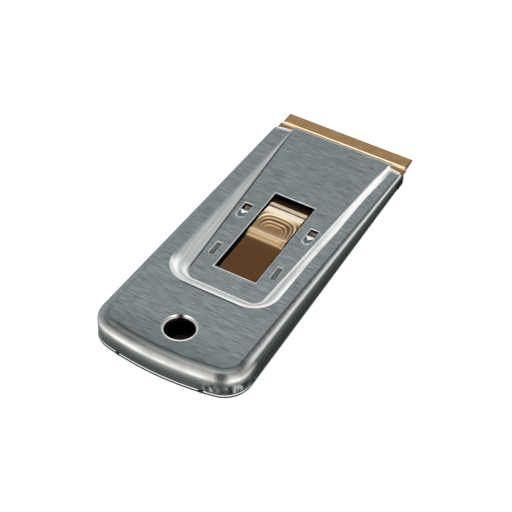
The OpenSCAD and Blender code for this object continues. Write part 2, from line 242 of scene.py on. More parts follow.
# Places and heights over the flat tail along the leaf's middle, from the front to the rear
REST_PROFILE = ((15.6, 0.36), (15.1, 0.56), (14.4, 0.72), (14.05, 0.7), (13.8, 0.5), (13.5, 0.5),
                (13.25, 0.56), (11.3, 0.745), (10.8, 0.73), (8.0, 0.56), (5.0, 0.5), (4.4, 0.52),
                (3.8, 0.7), (3.4, 0.745), (3.2, 0.73), (1.25, 0.03), (0.9, 0.0), (-18, 0.0))
# The finger cup, an oval whose rear half is left open: its steps lie at shares of the way to its rim,
# and each falls over a share of this way, with a small burr on its edge
CUP_Y = 4.3
CUP_HALF = 6
CUP_L = 7.2
CUP_BEND = 3.4
CUP_OPEN_L = 0.9
CUP_STEPS = (0.93, 0.78, 0.63, 0.48)
CUP_STEP_W = 0.07
CUP_STEP_H = 0.09
CUP_BURR_H = 0.03
# A raised edge on the +X side of the rest's rear slope: its crest, width and height, and where it
# starts from the middle, from the front and from the rear, each with the length over which it grows
CREST_X = 4.9
CREST_W = 0.3
CREST_H = 0.16
CREST_INNER = (4.3, 0.5)
CREST_FRONT = (4.6, 0.6)
CREST_REAR = (1.2, 0.8)

# The ears, which reach from the leaf to under the catches
EAR_ROOT = 5.3 * MM
EAR_TIP = 10.65 * MM
EAR_FRONT_Y = 10.8 * MM
EAR_L = 2 * MM

# The blade's spine: its two long edges are rounded by shares of its height, in so many steps
SPINE_HALF = 19.05 * MM
SPINE_FRONT_Y = 50.14 * MM
SPINE_REAR_Y = 45.65 * MM
SPINE_LOW_Z = 1.1 * MM
SPINE_TOP_Z = 2.15 * MM
SPINE_ROUNDS = ((SPINE_FRONT_Y, 0.46, 6), (SPINE_REAR_Y, 0.4, 4))
SPINE_END_EDGE = 0.04 * MM

# The rounded rim of the bottom plate
RIM_ROUND = 0.14 * MM


def case_corner():
    """Centres of the rear bow and of the +X rear corner, and the angle where they meet."""
    bow = Vector((0, COVER_REAR_Y + REAR_BOW_R))
    x = side_x(COVER_REAR_Y + CORNER_R) - CORNER_R
    corner = Vector((x, bow.y - math.sqrt((REAR_BOW_R - CORNER_R) ** 2 - x ** 2)))
    return bow, corner, math.atan2(corner.y - bow.y, corner.x)


def stations():
    """Rows of (panel point, its direction, case point, its direction), from the mouth's +X side
    round the rear to its -X side. Each panel point faces its case point."""
    slant = (PANEL_FRONT_HALF - PANEL_END_HALF) / PANEL_L
    turn_x = PANEL_END_HALF + slant * PANEL_CORNER_R - PANEL_CORNER_R
    turn = Vector((turn_x, MOUTH_Y - PANEL_L + PANEL_CORNER_R))
    bow, corner, meet = case_corner()
    out = Vector((1, 0))
    front_in = Vector((PANEL_FRONT_HALF, mouth_line(PANEL_FRONT_HALF)))
    front_out = Vector((FRONT_HALF, mouth_line(FRONT_HALF)))
    side_in = turn + out * PANEL_CORNER_R
    side_out = Vector((side_x(turn.y), turn.y))
    half = []
    for i in range(SIDE_STEPS):
        t = i / SIDE_STEPS
        half.append((front_in.lerp(side_in, t), out, front_out.lerp(side_out, t), out))
    rest = [(side_out.lerp(corner + out * CORNER_R, i / TAIL_STEPS), out) for i in range(TAIL_STEPS)]
    for i in range(CORNER_STEPS):
        m = direction(meet * i / CORNER_STEPS)
        rest.append((corner + m * CORNER_R, m))
    for i in range(REAR_STEPS + 1):
        m = direction(lerp(meet, -math.pi / 2, i / REAR_STEPS))
        rest.append((bow + m * REAR_BOW_R, m))
    for q, m in rest:
        if q.x > turn.x:
            n = (q - turn).normalized()
            half.append((turn + n * PANEL_CORNER_R, n, q, m))
        else:
            half.append((Vector((q.x, turn.y - PANEL_CORNER_R)), Vector((0, -1)), q, m))
    other = [[Vector((-v.x, v.y)) for v in row] for row in reversed(half[:-1])]
    return half + other


def bend(before, corner, after, steps):
    """Points of a curve that rounds a corner, with both of its ends."""
    points = []
    for i in range(steps + 1):
        t = i / steps
        points.append(before * (1 - t) ** 2 + corner * 2 * t * (1 - t) + after * t ** 2)
    return points


def cover_profile(p, n, q, m):
    """Points from the panel over the recess wall, the top and the rolled edge down to the seam."""
    foot = Vector((p.x, p.y, PANEL_Z))
    height = top_z(p.y) - PANEL_Z
    # The sloping wall rises to a top that slopes too, so its height is found in a few passes
    for _ in range(BROW_PASSES):
        height = top_z(p.y + n.y * WALL_SLOPE * height) - PANEL_Z
    least = lerp(WALL_MIN_REAR, WALL_MIN_FRONT, smooth((p.y - WALL_TAPER_Y) / WALL_TAPER_L))
    width = max(WALL_SLOPE * height, least if p.x > 0 else 0)
    run = Vector((n.x * width, n.y * width, height))
    brow = foot + run
    wall = run.normalized()
    r = edge_r(q.y) * ROUND_SPREAD
    drop = edge_r(q.y)
    roll_start = Vector((q.x - m.x * r, q.y - m.y * r))
    across = Vector((roll_start.x - brow.x, roll_start.y - brow.y)).normalized()
    level = Vector((across.x, across.y, top_z(across.y) - top_z(0)))
    low = min(PANEL_FILLET, FOOT_SHARE * run.length)
    high = min(TOP_FILLET, BROW_SHARE * run.length)
    flat_in = Vector((n.x, n.y, 0))
    points = bend(foot - flat_in * low, foot, foot + wall * low, FILLET_STEPS)
    points += bend(brow - wall * high, brow, brow + level * high, FILLET_STEPS)
    start = points[-1]
    for i in range(1, TOP_STEPS):
        t = i / TOP_STEPS
        x, y = lerp(start.x, roll_start.x, t), lerp(start.y, roll_start.y, t)
        points.append(Vector((x, y, top_z(y))))
    for i in range(ROUND_STEPS + 1):
        a = math.pi / 2 * i / ROUND_STEPS
        x = roll_start.x + m.x * r * math.sin(a)
        y = roll_start.y + m.y * r * math.sin(a)
        points.append(Vector((x, y, top_z(y) - drop * (1 - math.cos(a)))))
    last = points[-1]
    for z, back in HEM:
        points.append(Vector((last.x - m.x * back * MM, last.y - m.y * back * MM, z * MM)))
    return points


def activate(obj):
    """Makes an object the only selected one, in object mode."""
    if bpy.context.object and bpy.context.object.mode != "OBJECT":
        bpy.ops.object.mode_set(mode="OBJECT")
    bpy.ops.object.select_all(action="DESELECT")
    obj.select_set(True)
    bpy.context.view_layer.objects.active = obj


def edit(obj):
    """Enters edit mode with nothing selected and gives the mesh."""
    activate(obj)
    bpy.ops.object.mode_set(mode="EDIT")
    bpy.ops.mesh.select_all(action="DESELECT")
    return bmesh.from_edit_mesh(obj.data)


def edit_again(obj):
    """Deselects everything in edit mode and gives the mesh as it is now."""
    bpy.ops.mesh.select_all(action="DESELECT")
    return bmesh.from_edit_mesh(obj.data)


def pick(obj, items):
    """Selects vertices or edges in edit mode."""
    for item in items:
        item.select = True
    bmesh.update_edit_mesh(obj.data)


def done():
    """Leaves edit mode."""
    bpy.ops.object.mode_set(mode="OBJECT")


def apply_modifier(obj, kind, **settings):
    """Adds a modifier with its settings and applies it."""
    activate(obj)
    mod = obj.modifiers.new(kind.lower(), kind)
    for key, value in settings.items():
        setattr(mod, key, value)
    bpy.ops.object.modifier_apply(modifier=mod.name)


def finish_mesh(obj, angle=35):
    """Merges doubles, points the faces outwards and shades the piece, the large faces level."""
    edit(obj)
    bpy.ops.mesh.select_all(action="SELECT")
    bpy.ops.mesh.remove_doubles(threshold=TINY / 4)
    bpy.ops.mesh.normals_make_consistent(inside=False)
    done()
    bpy.ops.object.shade_smooth_by_angle(angle=math.radians(angle))
    apply_modifier(obj, "WEIGHTED_NORMAL", keep_sharp=True, weight=100)


def box_cutter(x, y_front, w, length, low_z, high_z, round_end=0):
    """A block for cutting, which ends at y_front in front and may have a round rear end."""
    bpy.ops.object.select_all(action="DESELECT")
    centre = (x, y_front - length / 2, (low_z + high_z) / 2)
    bpy.ops.mesh.primitive_cube_add(size=1, location=centre, scale=(w, length, high_z - low_z))
    block = bpy.context.object
    bpy.ops.object.transform_apply(location=True, rotation=True, scale=True)
    if round_end:
        bm = edit(block)
        rear = [e for e in bm.edges if abs(e.verts[0].co.z - e.verts[1].co.z) > TINY
                and e.verts[0].co.y < centre[1]]
        pick(block, rear)
        bpy.ops.mesh.bevel(offset=round_end, segments=6, affect="EDGES", clamp_overlap=True)
        done()
    return block


def join(objs):
    """Joins objects into the first of them."""
    activate(objs[0])
    for obj in objs:
        obj.select_set(True)
    bpy.ops.object.join()
    return bpy.context.object


# The cover's material slots, in the order in which its finishes are made at the end of this file
BRUSHED, WALL, ROLL, EDGE_HIGHLIGHT, LIP, INSIDE, POCKET, GROOVE = range(8)


def make_sheet(steels):
    """The cover's outer face without its holes: a grid bent into the pressed form."""
    profiles = [cover_profile(*row) for row in stations()]
    bpy.ops.object.select_all(action="DESELECT")
    bpy.ops.mesh.primitive_grid_add(x_subdivisions=STATIONS, y_subdivisions=RINGS, size=1)
    cover = bpy.context.object
    cover.name = "pressed_cover"
    set_material(cover, *steels)
    inner, ring_of = [], {}
    for v in cover.data.vertices:
        i = round((v.co.x + 0.5) * STATIONS)
        k = round((v.co.y + 0.5) * RINGS)
        v.co = profiles[i][k]
        ring_of[v.index] = k
        if k == 0:
            inner.append(v.index)
    zones = ((1, BRUSHED), (WALL_RINGS, WALL), (WALL_RINGS + TOP_STEPS, BRUSHED))
    for face in cover.data.polygons:
        k = min(ring_of[i] for i in face.vertices)
        face.material_index = next((zone for end, zone in zones if k < end), ROLL)
    return cover, inner


def fill_panel(cover, inner):
    """Closes the grid with the floor of the sunk panel, whose front follows the mouth's line."""
    bm = edit(cover)
    bm.verts.ensure_lookup_table()
    count = len(bm.verts)
    pick(cover, (bm.verts[min(inner)], bm.verts[max(inner)]))
    bpy.ops.mesh.edge_face_add()
    bpy.ops.mesh.subdivide(number_cuts=MOUTH_STEPS)
    bm = bmesh.from_edit_mesh(cover.data)
    bm.verts.ensure_lookup_table()
    added = bm.verts[count:]
    for v in added:
        v.co.y = mouth_line(v.co.x)
    loop = {*added, *(bm.verts[i] for i in inner)}
    bpy.ops.mesh.select_all(action="DESELECT")
    pick(cover, [e for e in bm.edges if loop.issuperset(e.verts)])
    bpy.ops.mesh.edge_face_add()
    done()


def curl_fronts(cover):
    """Turns the front ends of the two side strips down, as the press leaves them."""
    for v in cover.data.vertices:
        ahead = v.co.y - mouth_line(v.co.x) + CURL_L
        beside = (abs(v.co.x) - PANEL_FRONT_HALF) / CURL_FADE
        if ahead > 0 and beside > 0 and v.co.z > PANEL_Z / 2:
            v.co.z -= CURL_DROP * (ahead / CURL_L) ** 2 * min(1, beside)


def wrinkle_corners(cover):
    """Small dents low on the rear corners, where the drawn sheet was too wide for its rim."""
    _, corner, _ = case_corner()
    for v in cover.data.vertices:
        x, y = abs(v.co.x) - corner.x, v.co.y - corner.y
        low = (top_z(v.co.y) - v.co.z) / top_z(v.co.y) - WRINKLE_FROM
        if x > 0 > y and low > 0:
            a = math.atan2(y, x)
            wave = math.sin(a * WRINKLES + math.sin(a * WRINKLE_SWAY))
            wave *= math.sin(a * WRINKLES * WRINKLE_BEAT + 1)
            end = math.sin(min(1, 2 * low) * math.pi / 2)
            over_hem = smooth((v.co.z / MM - HEM[0][0]) / WRINKLE_FADE_MM)
            dent = WRINKLE_DEPTH * end * max(0, wave) * math.sin(-a * 2) * over_hem
            v.co.x -= math.copysign(dent * math.cos(a), v.co.x)
            v.co.y -= dent * math.sin(a)


def cut_cover(cover):
    """Cuts the window, the catches and the hole for the hang hole's lip."""
    low, high = PANEL_Z - 2 * SHEET, PANEL_Z + SHEET
    window_l = WINDOW_FRONT_Y - WINDOW_REAR_Y
    cutters = [box_cutter(0, WINDOW_FRONT_Y, 2 * WINDOW_HALF, window_l, low, high)]
    for side in (-1, 1):
        cutters.append(box_cutter(side * CATCH_X, CATCH_FRONT_Y, CATCH_W, CATCH_HOLE_L, low, high))
    bpy.ops.object.select_all(action="DESELECT")
    bpy.ops.mesh.primitive_cylinder_add(vertices=HOLE_STEPS, radius=HANG_R + HANG_LIP_R, depth=REAR_H,
                                        location=(0, HANG_Y, REAR_H))
    bpy.ops.object.transform_apply(location=True, rotation=True, scale=True)
    cutters.append(bpy.context.object)
    cutter = join(cutters)
    apply_modifier(cover, "BOOLEAN", object=cutter, operation="DIFFERENCE", solver="EXACT")
    bpy.data.objects.remove(cutter)


def press_pockets(cover):
    """The pocket behind each catch hole, pressed down towards the hole, and the groove behind it."""
    high = PANEL_Z + SHEET
    cutters = []
    for side in (-1, 1):
        cutters.append(box_cutter(side * CATCH_X, POCKET_FRONT_Y + TINY, CATCH_W, CATCH_POCKET_L,
                                  PANEL_Z - POCKET_DEPTH, high, CATCH_W * POCKET_ROUND))
    cutter = join(cutters)
    for v in cutter.data.vertices:
        if v.co.z < PANEL_Z:
            back = (POCKET_FRONT_Y - v.co.y) / CATCH_POCKET_L
            v.co.z = PANEL_Z - POCKET_DEPTH * (1 - POCKET_RISE * back)
    for side in (-1, 1):
        groove = box_cutter(side * SLOT_X, SLOT_FRONT_Y, GROOVE_W, SLOT_L,
                            PANEL_Z - GROOVE_DEPTH, high, GROOVE_W * GROOVE_ROUND)
        cutter = join([cutter, groove])
    apply_modifier(cover, "BOOLEAN", object=cutter, operation="DIFFERENCE", solver="EXACT")
    bpy.data.objects.remove(cutter)


def make_lip(steels):
    """The turned edge of the hang hole: a closed ring that takes the sheet down into a collar."""
    rim = HANG_R + HANG_LIP_R
    under_r = HANG_LIP_R - SHEET
    quarter = [math.pi / 2 * i / LIP_STEPS for i in range(LIP_STEPS + 1)]
    # Radius of the ring and its drop below the top, from the top over the turn and back inside it
    rings = [(rim - HANG_LIP_R * math.sin(a), HANG_LIP_R * (1 - math.cos(a))) for a in quarter]
    rings.append((HANG_R, HANG_LIP_R + COLLAR_L))
    rings.append((HANG_R + SHEET, HANG_LIP_R + COLLAR_L))
    rings += [(rim - under_r * math.sin(a), HANG_LIP_R - under_r * math.cos(a)) for a in reversed(quarter)]
    bpy.ops.object.select_all(action="DESELECT")
    bpy.ops.mesh.primitive_circle_add(vertices=HOLE_STEPS, radius=rim, location=(0, HANG_Y, 0))
    bpy.ops.object.transform_apply(location=True, rotation=True, scale=True)
    lip = bpy.context.object
    bm = edit(lip)
    pick(lip, bm.edges)
    for step, (r, drop) in enumerate(rings):
        if step:
            bpy.ops.mesh.extrude_edges_move()
        bm = bmesh.from_edit_mesh(lip.data)
        for v in bm.verts:
            if v.select:
                k = r / math.hypot(v.co.x, v.co.y - HANG_Y)
                v.co.x *= k
                v.co.y = HANG_Y + (v.co.y - HANG_Y) * k
                v.co.z = top_z(v.co.y) - drop
        bmesh.update_edit_mesh(lip.data)
    bm = edit_again(lip)
    pick(lip, [e for e in bm.edges if e.is_boundary])
    bpy.ops.mesh.bridge_edge_loops()
    done()
    set_material(lip, *steels)
    for face in lip.data.polygons:
        face.material_index = LIP
    finish_mesh(lip)
    return lip


def break_edges(cover):
    """Breaks the sharp edges of the cut holes a little and gives them a painted highlight."""
    bm = edit(cover)
    chosen = []
    for e in bm.edges:
        a, b = (v.co for v in e.verts)
        level = abs(a.z - PANEL_Z) < TINY and abs(b.z - PANEL_Z) < TINY
        near = max(abs(a.x), abs(b.x)) < CATCH_X + CATCH_W and a.y < WINDOW_FRONT_Y + SHEET
        if level and near and len(e.link_faces) == 2 and e.calc_face_angle() > SHARP:
            chosen.append(e)
    pick(cover, chosen)
    # The broken edges get the painted highlight
    bpy.ops.mesh.bevel(offset=CUT_EDGE, segments=2, affect="EDGES", clamp_overlap=False, material=EDGE_HIGHLIGHT)
    done()


def mark_pressings(cover):
    """Gives the floors of the pockets and of the grooves their own finish."""
    for face in cover.data.polygons:
        x, y, z = face.center
        in_pocket = abs(abs(x) - CATCH_X) < CATCH_W / 2 and 0 < POCKET_FRONT_Y - y < CATCH_POCKET_L
        if in_pocket and face.normal.z > FACING_UP and PANEL_Z - SHEET < z < PANEL_Z - TINY:
            face.material_index = POCKET
        in_groove = abs(abs(x) - SLOT_X) < GROOVE_W / 2 and 0 < SLOT_FRONT_Y - y < SLOT_L
        above_inside = PANEL_Z - SHEET / 2 - GROOVE_DEPTH / 2 < z < PANEL_Z - TINY
        if in_groove and above_inside and face.material_index != EDGE_HIGHLIGHT:
            face.material_index = GROOVE


def make_cover(steels):
    """The pressed cover: one bent sheet, then its cuts and pressings, then the turned hang hole."""
    cover, inner = make_sheet(steels)
    fill_panel(cover, inner)
    curl_fronts(cover)
    wrinkle_corners(cover)
    apply_modifier(cover, "SOLIDIFY", thickness=SHEET, offset=-1,
                   material_offset=INSIDE, material_offset_rim=INSIDE)
    finish_mesh(cover)
    cut_cover(cover)
    press_pockets(cover)
    break_edges(cover)
    finish_mesh(cover)
    mark_pressings(cover)
    return join([cover, make_lip(steels)])


def rest_height(x, y):
    """Height of the thumb spring's upper face over its flat tail, all in mm."""
    height = REST_PROFILE[-1][1]
    for (y1, h1), (y0, h0) in zip(REST_PROFILE, REST_PROFILE[1:]):
        if y0 <= y <= y1:
            height = lerp(h0, h1, smooth((y - y0) / (y1 - y0)))
    back = y - CUP_Y
    away = (abs(x / CUP_HALF) ** CUP_BEND + abs(back / CUP_L) ** CUP_BEND) ** (1 / CUP_BEND)
    open_end = smooth(back / CUP_OPEN_L)
    for share in CUP_STEPS:
        step = (share - away) / CUP_STEP_W
        burr = CUP_BURR_H * math.exp(-(step + 0.5) ** 2 * 3)
        height += open_end * (burr - CUP_STEP_H * smooth(step))
    limits = ((x, CREST_INNER, 1), (y, CREST_FRONT, -1), (y, CREST_REAR, 1))
    crest = math.prod(smooth(way * (place - at) / length) for place, (at, length), way in limits)
    height += CREST_H * crest * math.exp(-((x - CREST_X) / CREST_W) ** 2)
    return height - LEAF_EDGE_DROP * smooth((abs(x) - LEAF_HALF_MM + LEAF_EDGE_W) / LEAF_EDGE_W)


def make_spring():
    """The leaf with its pressed finger rest, and two ears that reach under the catches."""
    bpy.ops.object.select_all(action="DESELECT")
    bpy.ops.mesh.primitive_grid_add(x_subdivisions=LEAF_STEPS_X, y_subdivisions=LEAF_STEPS_Y, size=1)
    leaf = bpy.context.object
    leaf.name = "pressed_spring"
    for v in leaf.data.vertices:
        x = 2 * LEAF_HALF_MM * v.co.x
        share = v.co.y + 0.5
        if share > TAIL_SHARE:
            y = lerp(REST_REAR_MM, REST_FRONT_MM, (share - TAIL_SHARE) / (1 - TAIL_SHARE))
        else:
            y = lerp(LEAF_END_MM, REST_REAR_MM, share / TAIL_SHARE)
        v.co = (x * MM, y * MM, TAIL_Z + rest_height(x, y) * MM)
    apply_modifier(leaf, "SOLIDIFY", thickness=LEAF_SHEET, offset=-1)
    finish_mesh(leaf, angle=50)
    ears = []
    for side in (-1, 1):
        ear = box_cutter(side * (EAR_TIP + EAR_ROOT) / 2, EAR_FRONT_Y, EAR_TIP - EAR_ROOT, EAR_L,
                         TAIL_Z, TAIL_Z + LEAF_SHEET)
        edit(ear)
        bpy.ops.mesh.select_all(action="SELECT")
        bpy.ops.mesh.bevel(offset=LEAF_SHEET / 4, segments=2, affect="EDGES")
        done()
        ears.append(ear)
    return join([leaf, *ears])


def make_spine():
    """The folded strip along the back of the blade: round in front, crimped down behind."""
    w, low, top = SPINE_HALF, SPINE_LOW_Z, SPINE_TOP_Z
    spine = box_cutter(0, SPINE_FRONT_Y, 2 * w, SPINE_FRONT_Y - SPINE_REAR_Y, low, top)
    spine.name = "folded_spine"
    for y, round_to, steps in SPINE_ROUNDS:
        bm = edit(spine)
        pick(spine, [e for e in bm.edges if all(abs(v.co.y - y) < TINY for v in e.verts)
                     and abs(e.verts[0].co.x - e.verts[1].co.x) > w])
        bpy.ops.mesh.bevel(offset=(top - low) * round_to, segments=steps, affect="EDGES")
        done()
    bm = edit(spine)
    pick(spine, [e for e in bm.edges if e.calc_face_angle() > SHARP])
    bpy.ops.mesh.bevel(offset=SPINE_END_EDGE, segments=2, affect="EDGES")
    done()
    finish_mesh(spine, angle=40)
    return spine


def make_plate():
    """The bottom plate with its rim rounded, as the press leaves it."""
    node = nodes["bottom_plate"]
    mesh = node.data.copy()
    mesh.transform(node.matrix_world)
    plate = bpy.data.objects.new("pressed_plate", mesh)
    scene.collection.objects.link(plate)
    edit(plate)
    bpy.ops.mesh.select_all(action="SELECT")
    bpy.ops.mesh.remove_doubles(threshold=TINY / 4)
    bpy.ops.mesh.dissolve_limited(angle_limit=FLAT)
    bm = edit_again(plate)
    rim = []
    for e in bm.edges:
        a, b = (v.co for v in e.verts)
        level = abs(a.z - b.z) < TINY and a.z < PLATE_SHEET + TINY
        upright = len(e.link_faces) == 2 and min(abs(f.normal.z) for f in e.link_faces) < UPRIGHT
        place = (a + b) / 2
        outside = abs(place.x) > side_x(place.y) - SHEET or place.y < COVER_REAR_Y + CORNER_R
        hang = math.hypot(place.x, place.y - HANG_Y) < 2 * HANG_R
        if level and upright and outside and not hang and place.y < MOUTH_Y - CORNER_R:
            rim.append(e)
    pick(plate, rim)
    bpy.ops.mesh.bevel(offset=RIM_ROUND, segments=3, affect="EDGES")
    done()
    # Where the rounding dips below the flat underside, it is put back level with it
    for v in plate.data.vertices:
        v.co.z = max(0, v.co.z)
    finish_mesh(plate)
    return plate


def rgb(code):
    """A linear colour from an sRGB hex value."""
    def to_linear(v):
        return v / 12.92 if v <= 0.04045 else ((v + 0.055) / 1.055) ** 2.4
    return tuple(to_linear(int(code[i:i + 2], 16) / 255) for i in (1, 3, 5)) + (1,)


def new_material(name):
    """A material with no nodes yet."""
    mat = bpy.data.materials.new(name)
    mat.use_nodes = True
    mat.node_tree.nodes.clear()
    return mat


def add(mat, kind, inputs=(), output=0, stops=(), **settings):
    """Adds a node and gives one of its outputs. Inputs are sockets, numbers or hex colours, in the
    node's own order or by name. Stops are the places of a ramp, each with a hex colour or a grey."""
    node = mat.node_tree.nodes.new("ShaderNode" + kind)
    for key, value in settings.items():
        setattr(node, key, value)
    for key, item in (inputs.items() if isinstance(inputs, dict) else enumerate(inputs)):
        if isinstance(item, bpy.types.NodeSocket):
            mat.node_tree.links.new(item, node.inputs[key])
        else:
            node.inputs[key].default_value = rgb(item) if isinstance(item, str) else item
    for _ in stops[2:]:
        node.color_ramp.elements.new(1.0)
    for i, (where, tone) in enumerate(stops):
        node.color_ramp.elements[i].position = where
        node.color_ramp.elements[i].color = rgb(tone) if isinstance(tone, str) else (tone, tone, tone, 1)
    return node.outputs[output] if node.outputs else None


# Inputs of a node that mixes two colours, and its settings
FACTOR, UNDER, OVER = 0, 6, 7
COLOURS = {"data_type": "RGBA", "output": 2}
# Between these values of a noise its streaks turn from dark to light
STREAKS = (0.3, 0.7)
# How far the streaks change the roughness either way, and how high they stand where they show as bumps
ROUGHNESS_SPREAD = 0.06
BUMP_H = 0.02 * MM


def coordinate(mat, axis):
    """One of the object's coordinates, in mm."""
    place = add(mat, "TexCoord", output="Object")
    part = add(mat, "SeparateXYZ", (place,), axis)
    return add(mat, "Math", (part, 1 / MM), operation="MULTIPLY")


def grain(mat, size, detail=2.0, roughness=0.6):
    """Noise drawn out to a size in mm along X, Y and Z, as a value round one half."""
    place = add(mat, "TexCoord", output="Object")
    drawn_out = add(mat, "Mapping", {"Vector": place, "Scale": [1 / (mm * MM) for mm in size]})
    inputs = {"Vector": drawn_out, "Scale": 1.0, "Detail": detail, "Roughness": roughness}
    return add(mat, "TexNoise", inputs, "Fac")


def streaked(mat, lines, dark, light, limits=STREAKS):
    """The colour of streaks, which turn from dark to light between two values of their noise."""
    share = add(mat, "MapRange", (lines, *limits, 0, 1))
    return add(mat, "Mix", {FACTOR: share, UNDER: dark, OVER: light}, **COLOURS)


def rippled(mat, value, lines, swing):
    """A value that the streaks shift either way, so that no edge drawn with it is quite straight."""
    shift = add(mat, "MapRange", (lines, *STREAKS, -swing, swing))
    return add(mat, "Math", (value, shift), operation="ADD")


def spot(mat, x, y, centre, inner, outer):
    """1 within the inner radius round a centre in mm, and 0 beyond the outer one."""
    squares = []
    for part, at in zip((x, y), centre):
        offset = add(mat, "Math", (part, at), operation="SUBTRACT")
        squares.append(add(mat, "Math", (offset, 2), operation="POWER"))
    square = add(mat, "Math", squares, operation="ADD")
    return add(mat, "MapRange", (square, inner ** 2, outer ** 2, 1, 0))


def stripe(mat, value, low, high, soft):
    """1 from the low to the high value, and 0 beyond a soft edge on either side."""
    rise = add(mat, "MapRange", (value, low - soft, low, 0, 1))
    fall = add(mat, "MapRange", (value, high, high + soft, 1, 0))
    return add(mat, "Math", (rise, fall), operation="MULTIPLY")


def metal_shader(mat, colour, roughness, lines=None, bump=0.0, metallic=1.0, rim=1.0):
    """The metal's surface: its roughness varies with the streaks, and a bump lets them stand out.
    A low rim value keeps a dark metal dark where it is seen at a low angle."""
    inputs = {"Base Color": colour, "Metallic": metallic, "Roughness": roughness,
              "Specular Tint": (rim, rim, rim, 1)}
    if lines is not None:
        low, high = roughness - ROUGHNESS_SPREAD, roughness + ROUGHNESS_SPREAD
        inputs["Roughness"] = add(mat, "MapRange", (lines, *STREAKS, low, high))
    if bump:
        inputs["Normal"] = add(mat, "Bump", {"Height": lines, "Strength": bump, "Distance": BUMP_H})
    surface = add(mat, "BsdfPrincipled", inputs)
    add(mat, "OutputMaterial", {"Surface": surface})
    return mat


def metal(name, dark, light, roughness, streak=(6, 0.3), metallic=1.0):
    """A metal streaked in two colours: streak is the streaks' size in mm along X and across it."""
    mat = new_material(name)
    length, width = streak
    lines = grain(mat, (length, width, width))
    return metal_shader(mat, streaked(mat, lines, dark, light), roughness, lines, metallic=metallic)


# The brushed lines: the size in mm of the fine and of the coarse ones. The real ones are finer
# than the render can show, so they are drawn as coarse as they need to be seen
FINE_LINES = (3.6, 0.13, 0.13)
COARSE_LINES = (16, 0.4, 0.4)
COARSE_SHARE = 0.15
LINE_CONTRAST = (0.36, 0.64)


def brush_lines(mat):
    """The brushed lines across the case, as a value and as their colour."""
    fine = add(mat, "Math", (grain(mat, FINE_LINES, 4), 1 - COARSE_SHARE), operation="MULTIPLY")
    coarse = add(mat, "Math", (grain(mat, COARSE_LINES), COARSE_SHARE), operation="MULTIPLY")
    lines = add(mat, "Math", (fine, coarse), operation="ADD")
    return lines, streaked(mat, lines, "#5d686c", "#a6b0b3", LINE_CONTRAST)


# The painted highlight on the curled front ends of the side strips starts at the first place and is
# full from the second, in mm: counted forwards from the mouth's line, and outwards from the sunk panel
CURL_HIGHLIGHT_Y = (-2.2, -0.6)
CURL_HIGHLIGHT_X = (-0.2, 0.8)


def curled_front(mat, x, y):
    """1 at the curled front ends of the cover's two side strips, 0 elsewhere."""
    share = add(mat, "Math", (x, FRONT_HALF / MM), operation="DIVIDE")
    share = add(mat, "Math", (share,), operation="ABSOLUTE")
    setback = add(mat, "Math", (share, MOUTH_BOW_POWER), operation="POWER")
    setback = add(mat, "Math", (setback, MOUTH_SETBACK / MM), operation="MULTIPLY")
    ahead = add(mat, "Math", (y, setback), operation="ADD")
    front = add(mat, "MapRange", (ahead, *(MOUTH_Y / MM + edge for edge in CURL_HIGHLIGHT_Y), 0, 1))
    side = add(mat, "Math", (x,), operation="ABSOLUTE")
    strip = add(mat, "MapRange", (side, *(PANEL_FRONT_HALF / MM + edge for edge in CURL_HIGHLIGHT_X), 0, 1))
    return add(mat, "Math", (front, strip), operation="MULTIPLY")


# Where the brushed top changes its tone, in mm: the painted shade at its rear, a painted highlight
# behind the window and a painted line of shade behind the end wall of the sunk panel, each with its
# soft edges
TOP_SHADE_Y = (-47, -38)
WINDOW_HIGHLIGHT_W = 0.4
WINDOW_HIGHLIGHT_SOFT = 0.1
WINDOW_HIGHLIGHT_PAST = 0.3
SHADE_LINE_Y = (-25.5, -25)
SHADE_LINE_SOFT = 0.3
SHADE_LINE_END_X = (7, 10)


def brushed_steel():
    """The brushed top: fine light and dark lines across the case, which give it its soft sheen."""
    mat = new_material("brushed_stainless")
    lines, colour = brush_lines(mat)
    x, y = (coordinate(mat, axis) for axis in "XY")
    side = add(mat, "Math", (x,), operation="ABSOLUTE")
    shade = add(mat, "MapRange", (y, *TOP_SHADE_Y, 0.5, 0))
    colour = add(mat, "Mix", {FACTOR: shade, UNDER: colour, OVER: "#4f595d"}, **COLOURS)
    # Painted highlight: a bright line along the rear edge of the window
    rear, end = WINDOW_REAR_Y / MM, WINDOW_HALF / MM + WINDOW_HIGHLIGHT_PAST
    burr = stripe(mat, y, rear - WINDOW_HIGHLIGHT_W, rear, WINDOW_HIGHLIGHT_SOFT)
    beside = add(mat, "MapRange", (side, end, end + WINDOW_HIGHLIGHT_SOFT, 1, 0))
    burr = add(mat, "Math", (burr, beside), operation="MULTIPLY")
    colour = add(mat, "Mix", {FACTOR: burr, UNDER: colour, OVER: "#d9dcda"}, **COLOURS)
    # Painted shade: a dark line on the top behind the end wall of the sunk panel
    shade_line = stripe(mat, y, *SHADE_LINE_Y, SHADE_LINE_SOFT)
    beside = add(mat, "MapRange", (side, *SHADE_LINE_END_X, 0.75, 0))
    shade_line = add(mat, "Math", (shade_line, beside), operation="MULTIPLY")
    colour = add(mat, "Mix", {FACTOR: shade_line, UNDER: colour, OVER: "#3c4549"}, **COLOURS)
    # Painted highlight: the curled front ends of the side strips are white
    highlight_mask = curled_front(mat, x, y)
    colour = add(mat, "Mix", {FACTOR: highlight_mask, UNDER: colour, OVER: "#ffffff"}, **COLOURS)
    return metal_shader(mat, colour, roughness=0.36, lines=lines, bump=0.3)


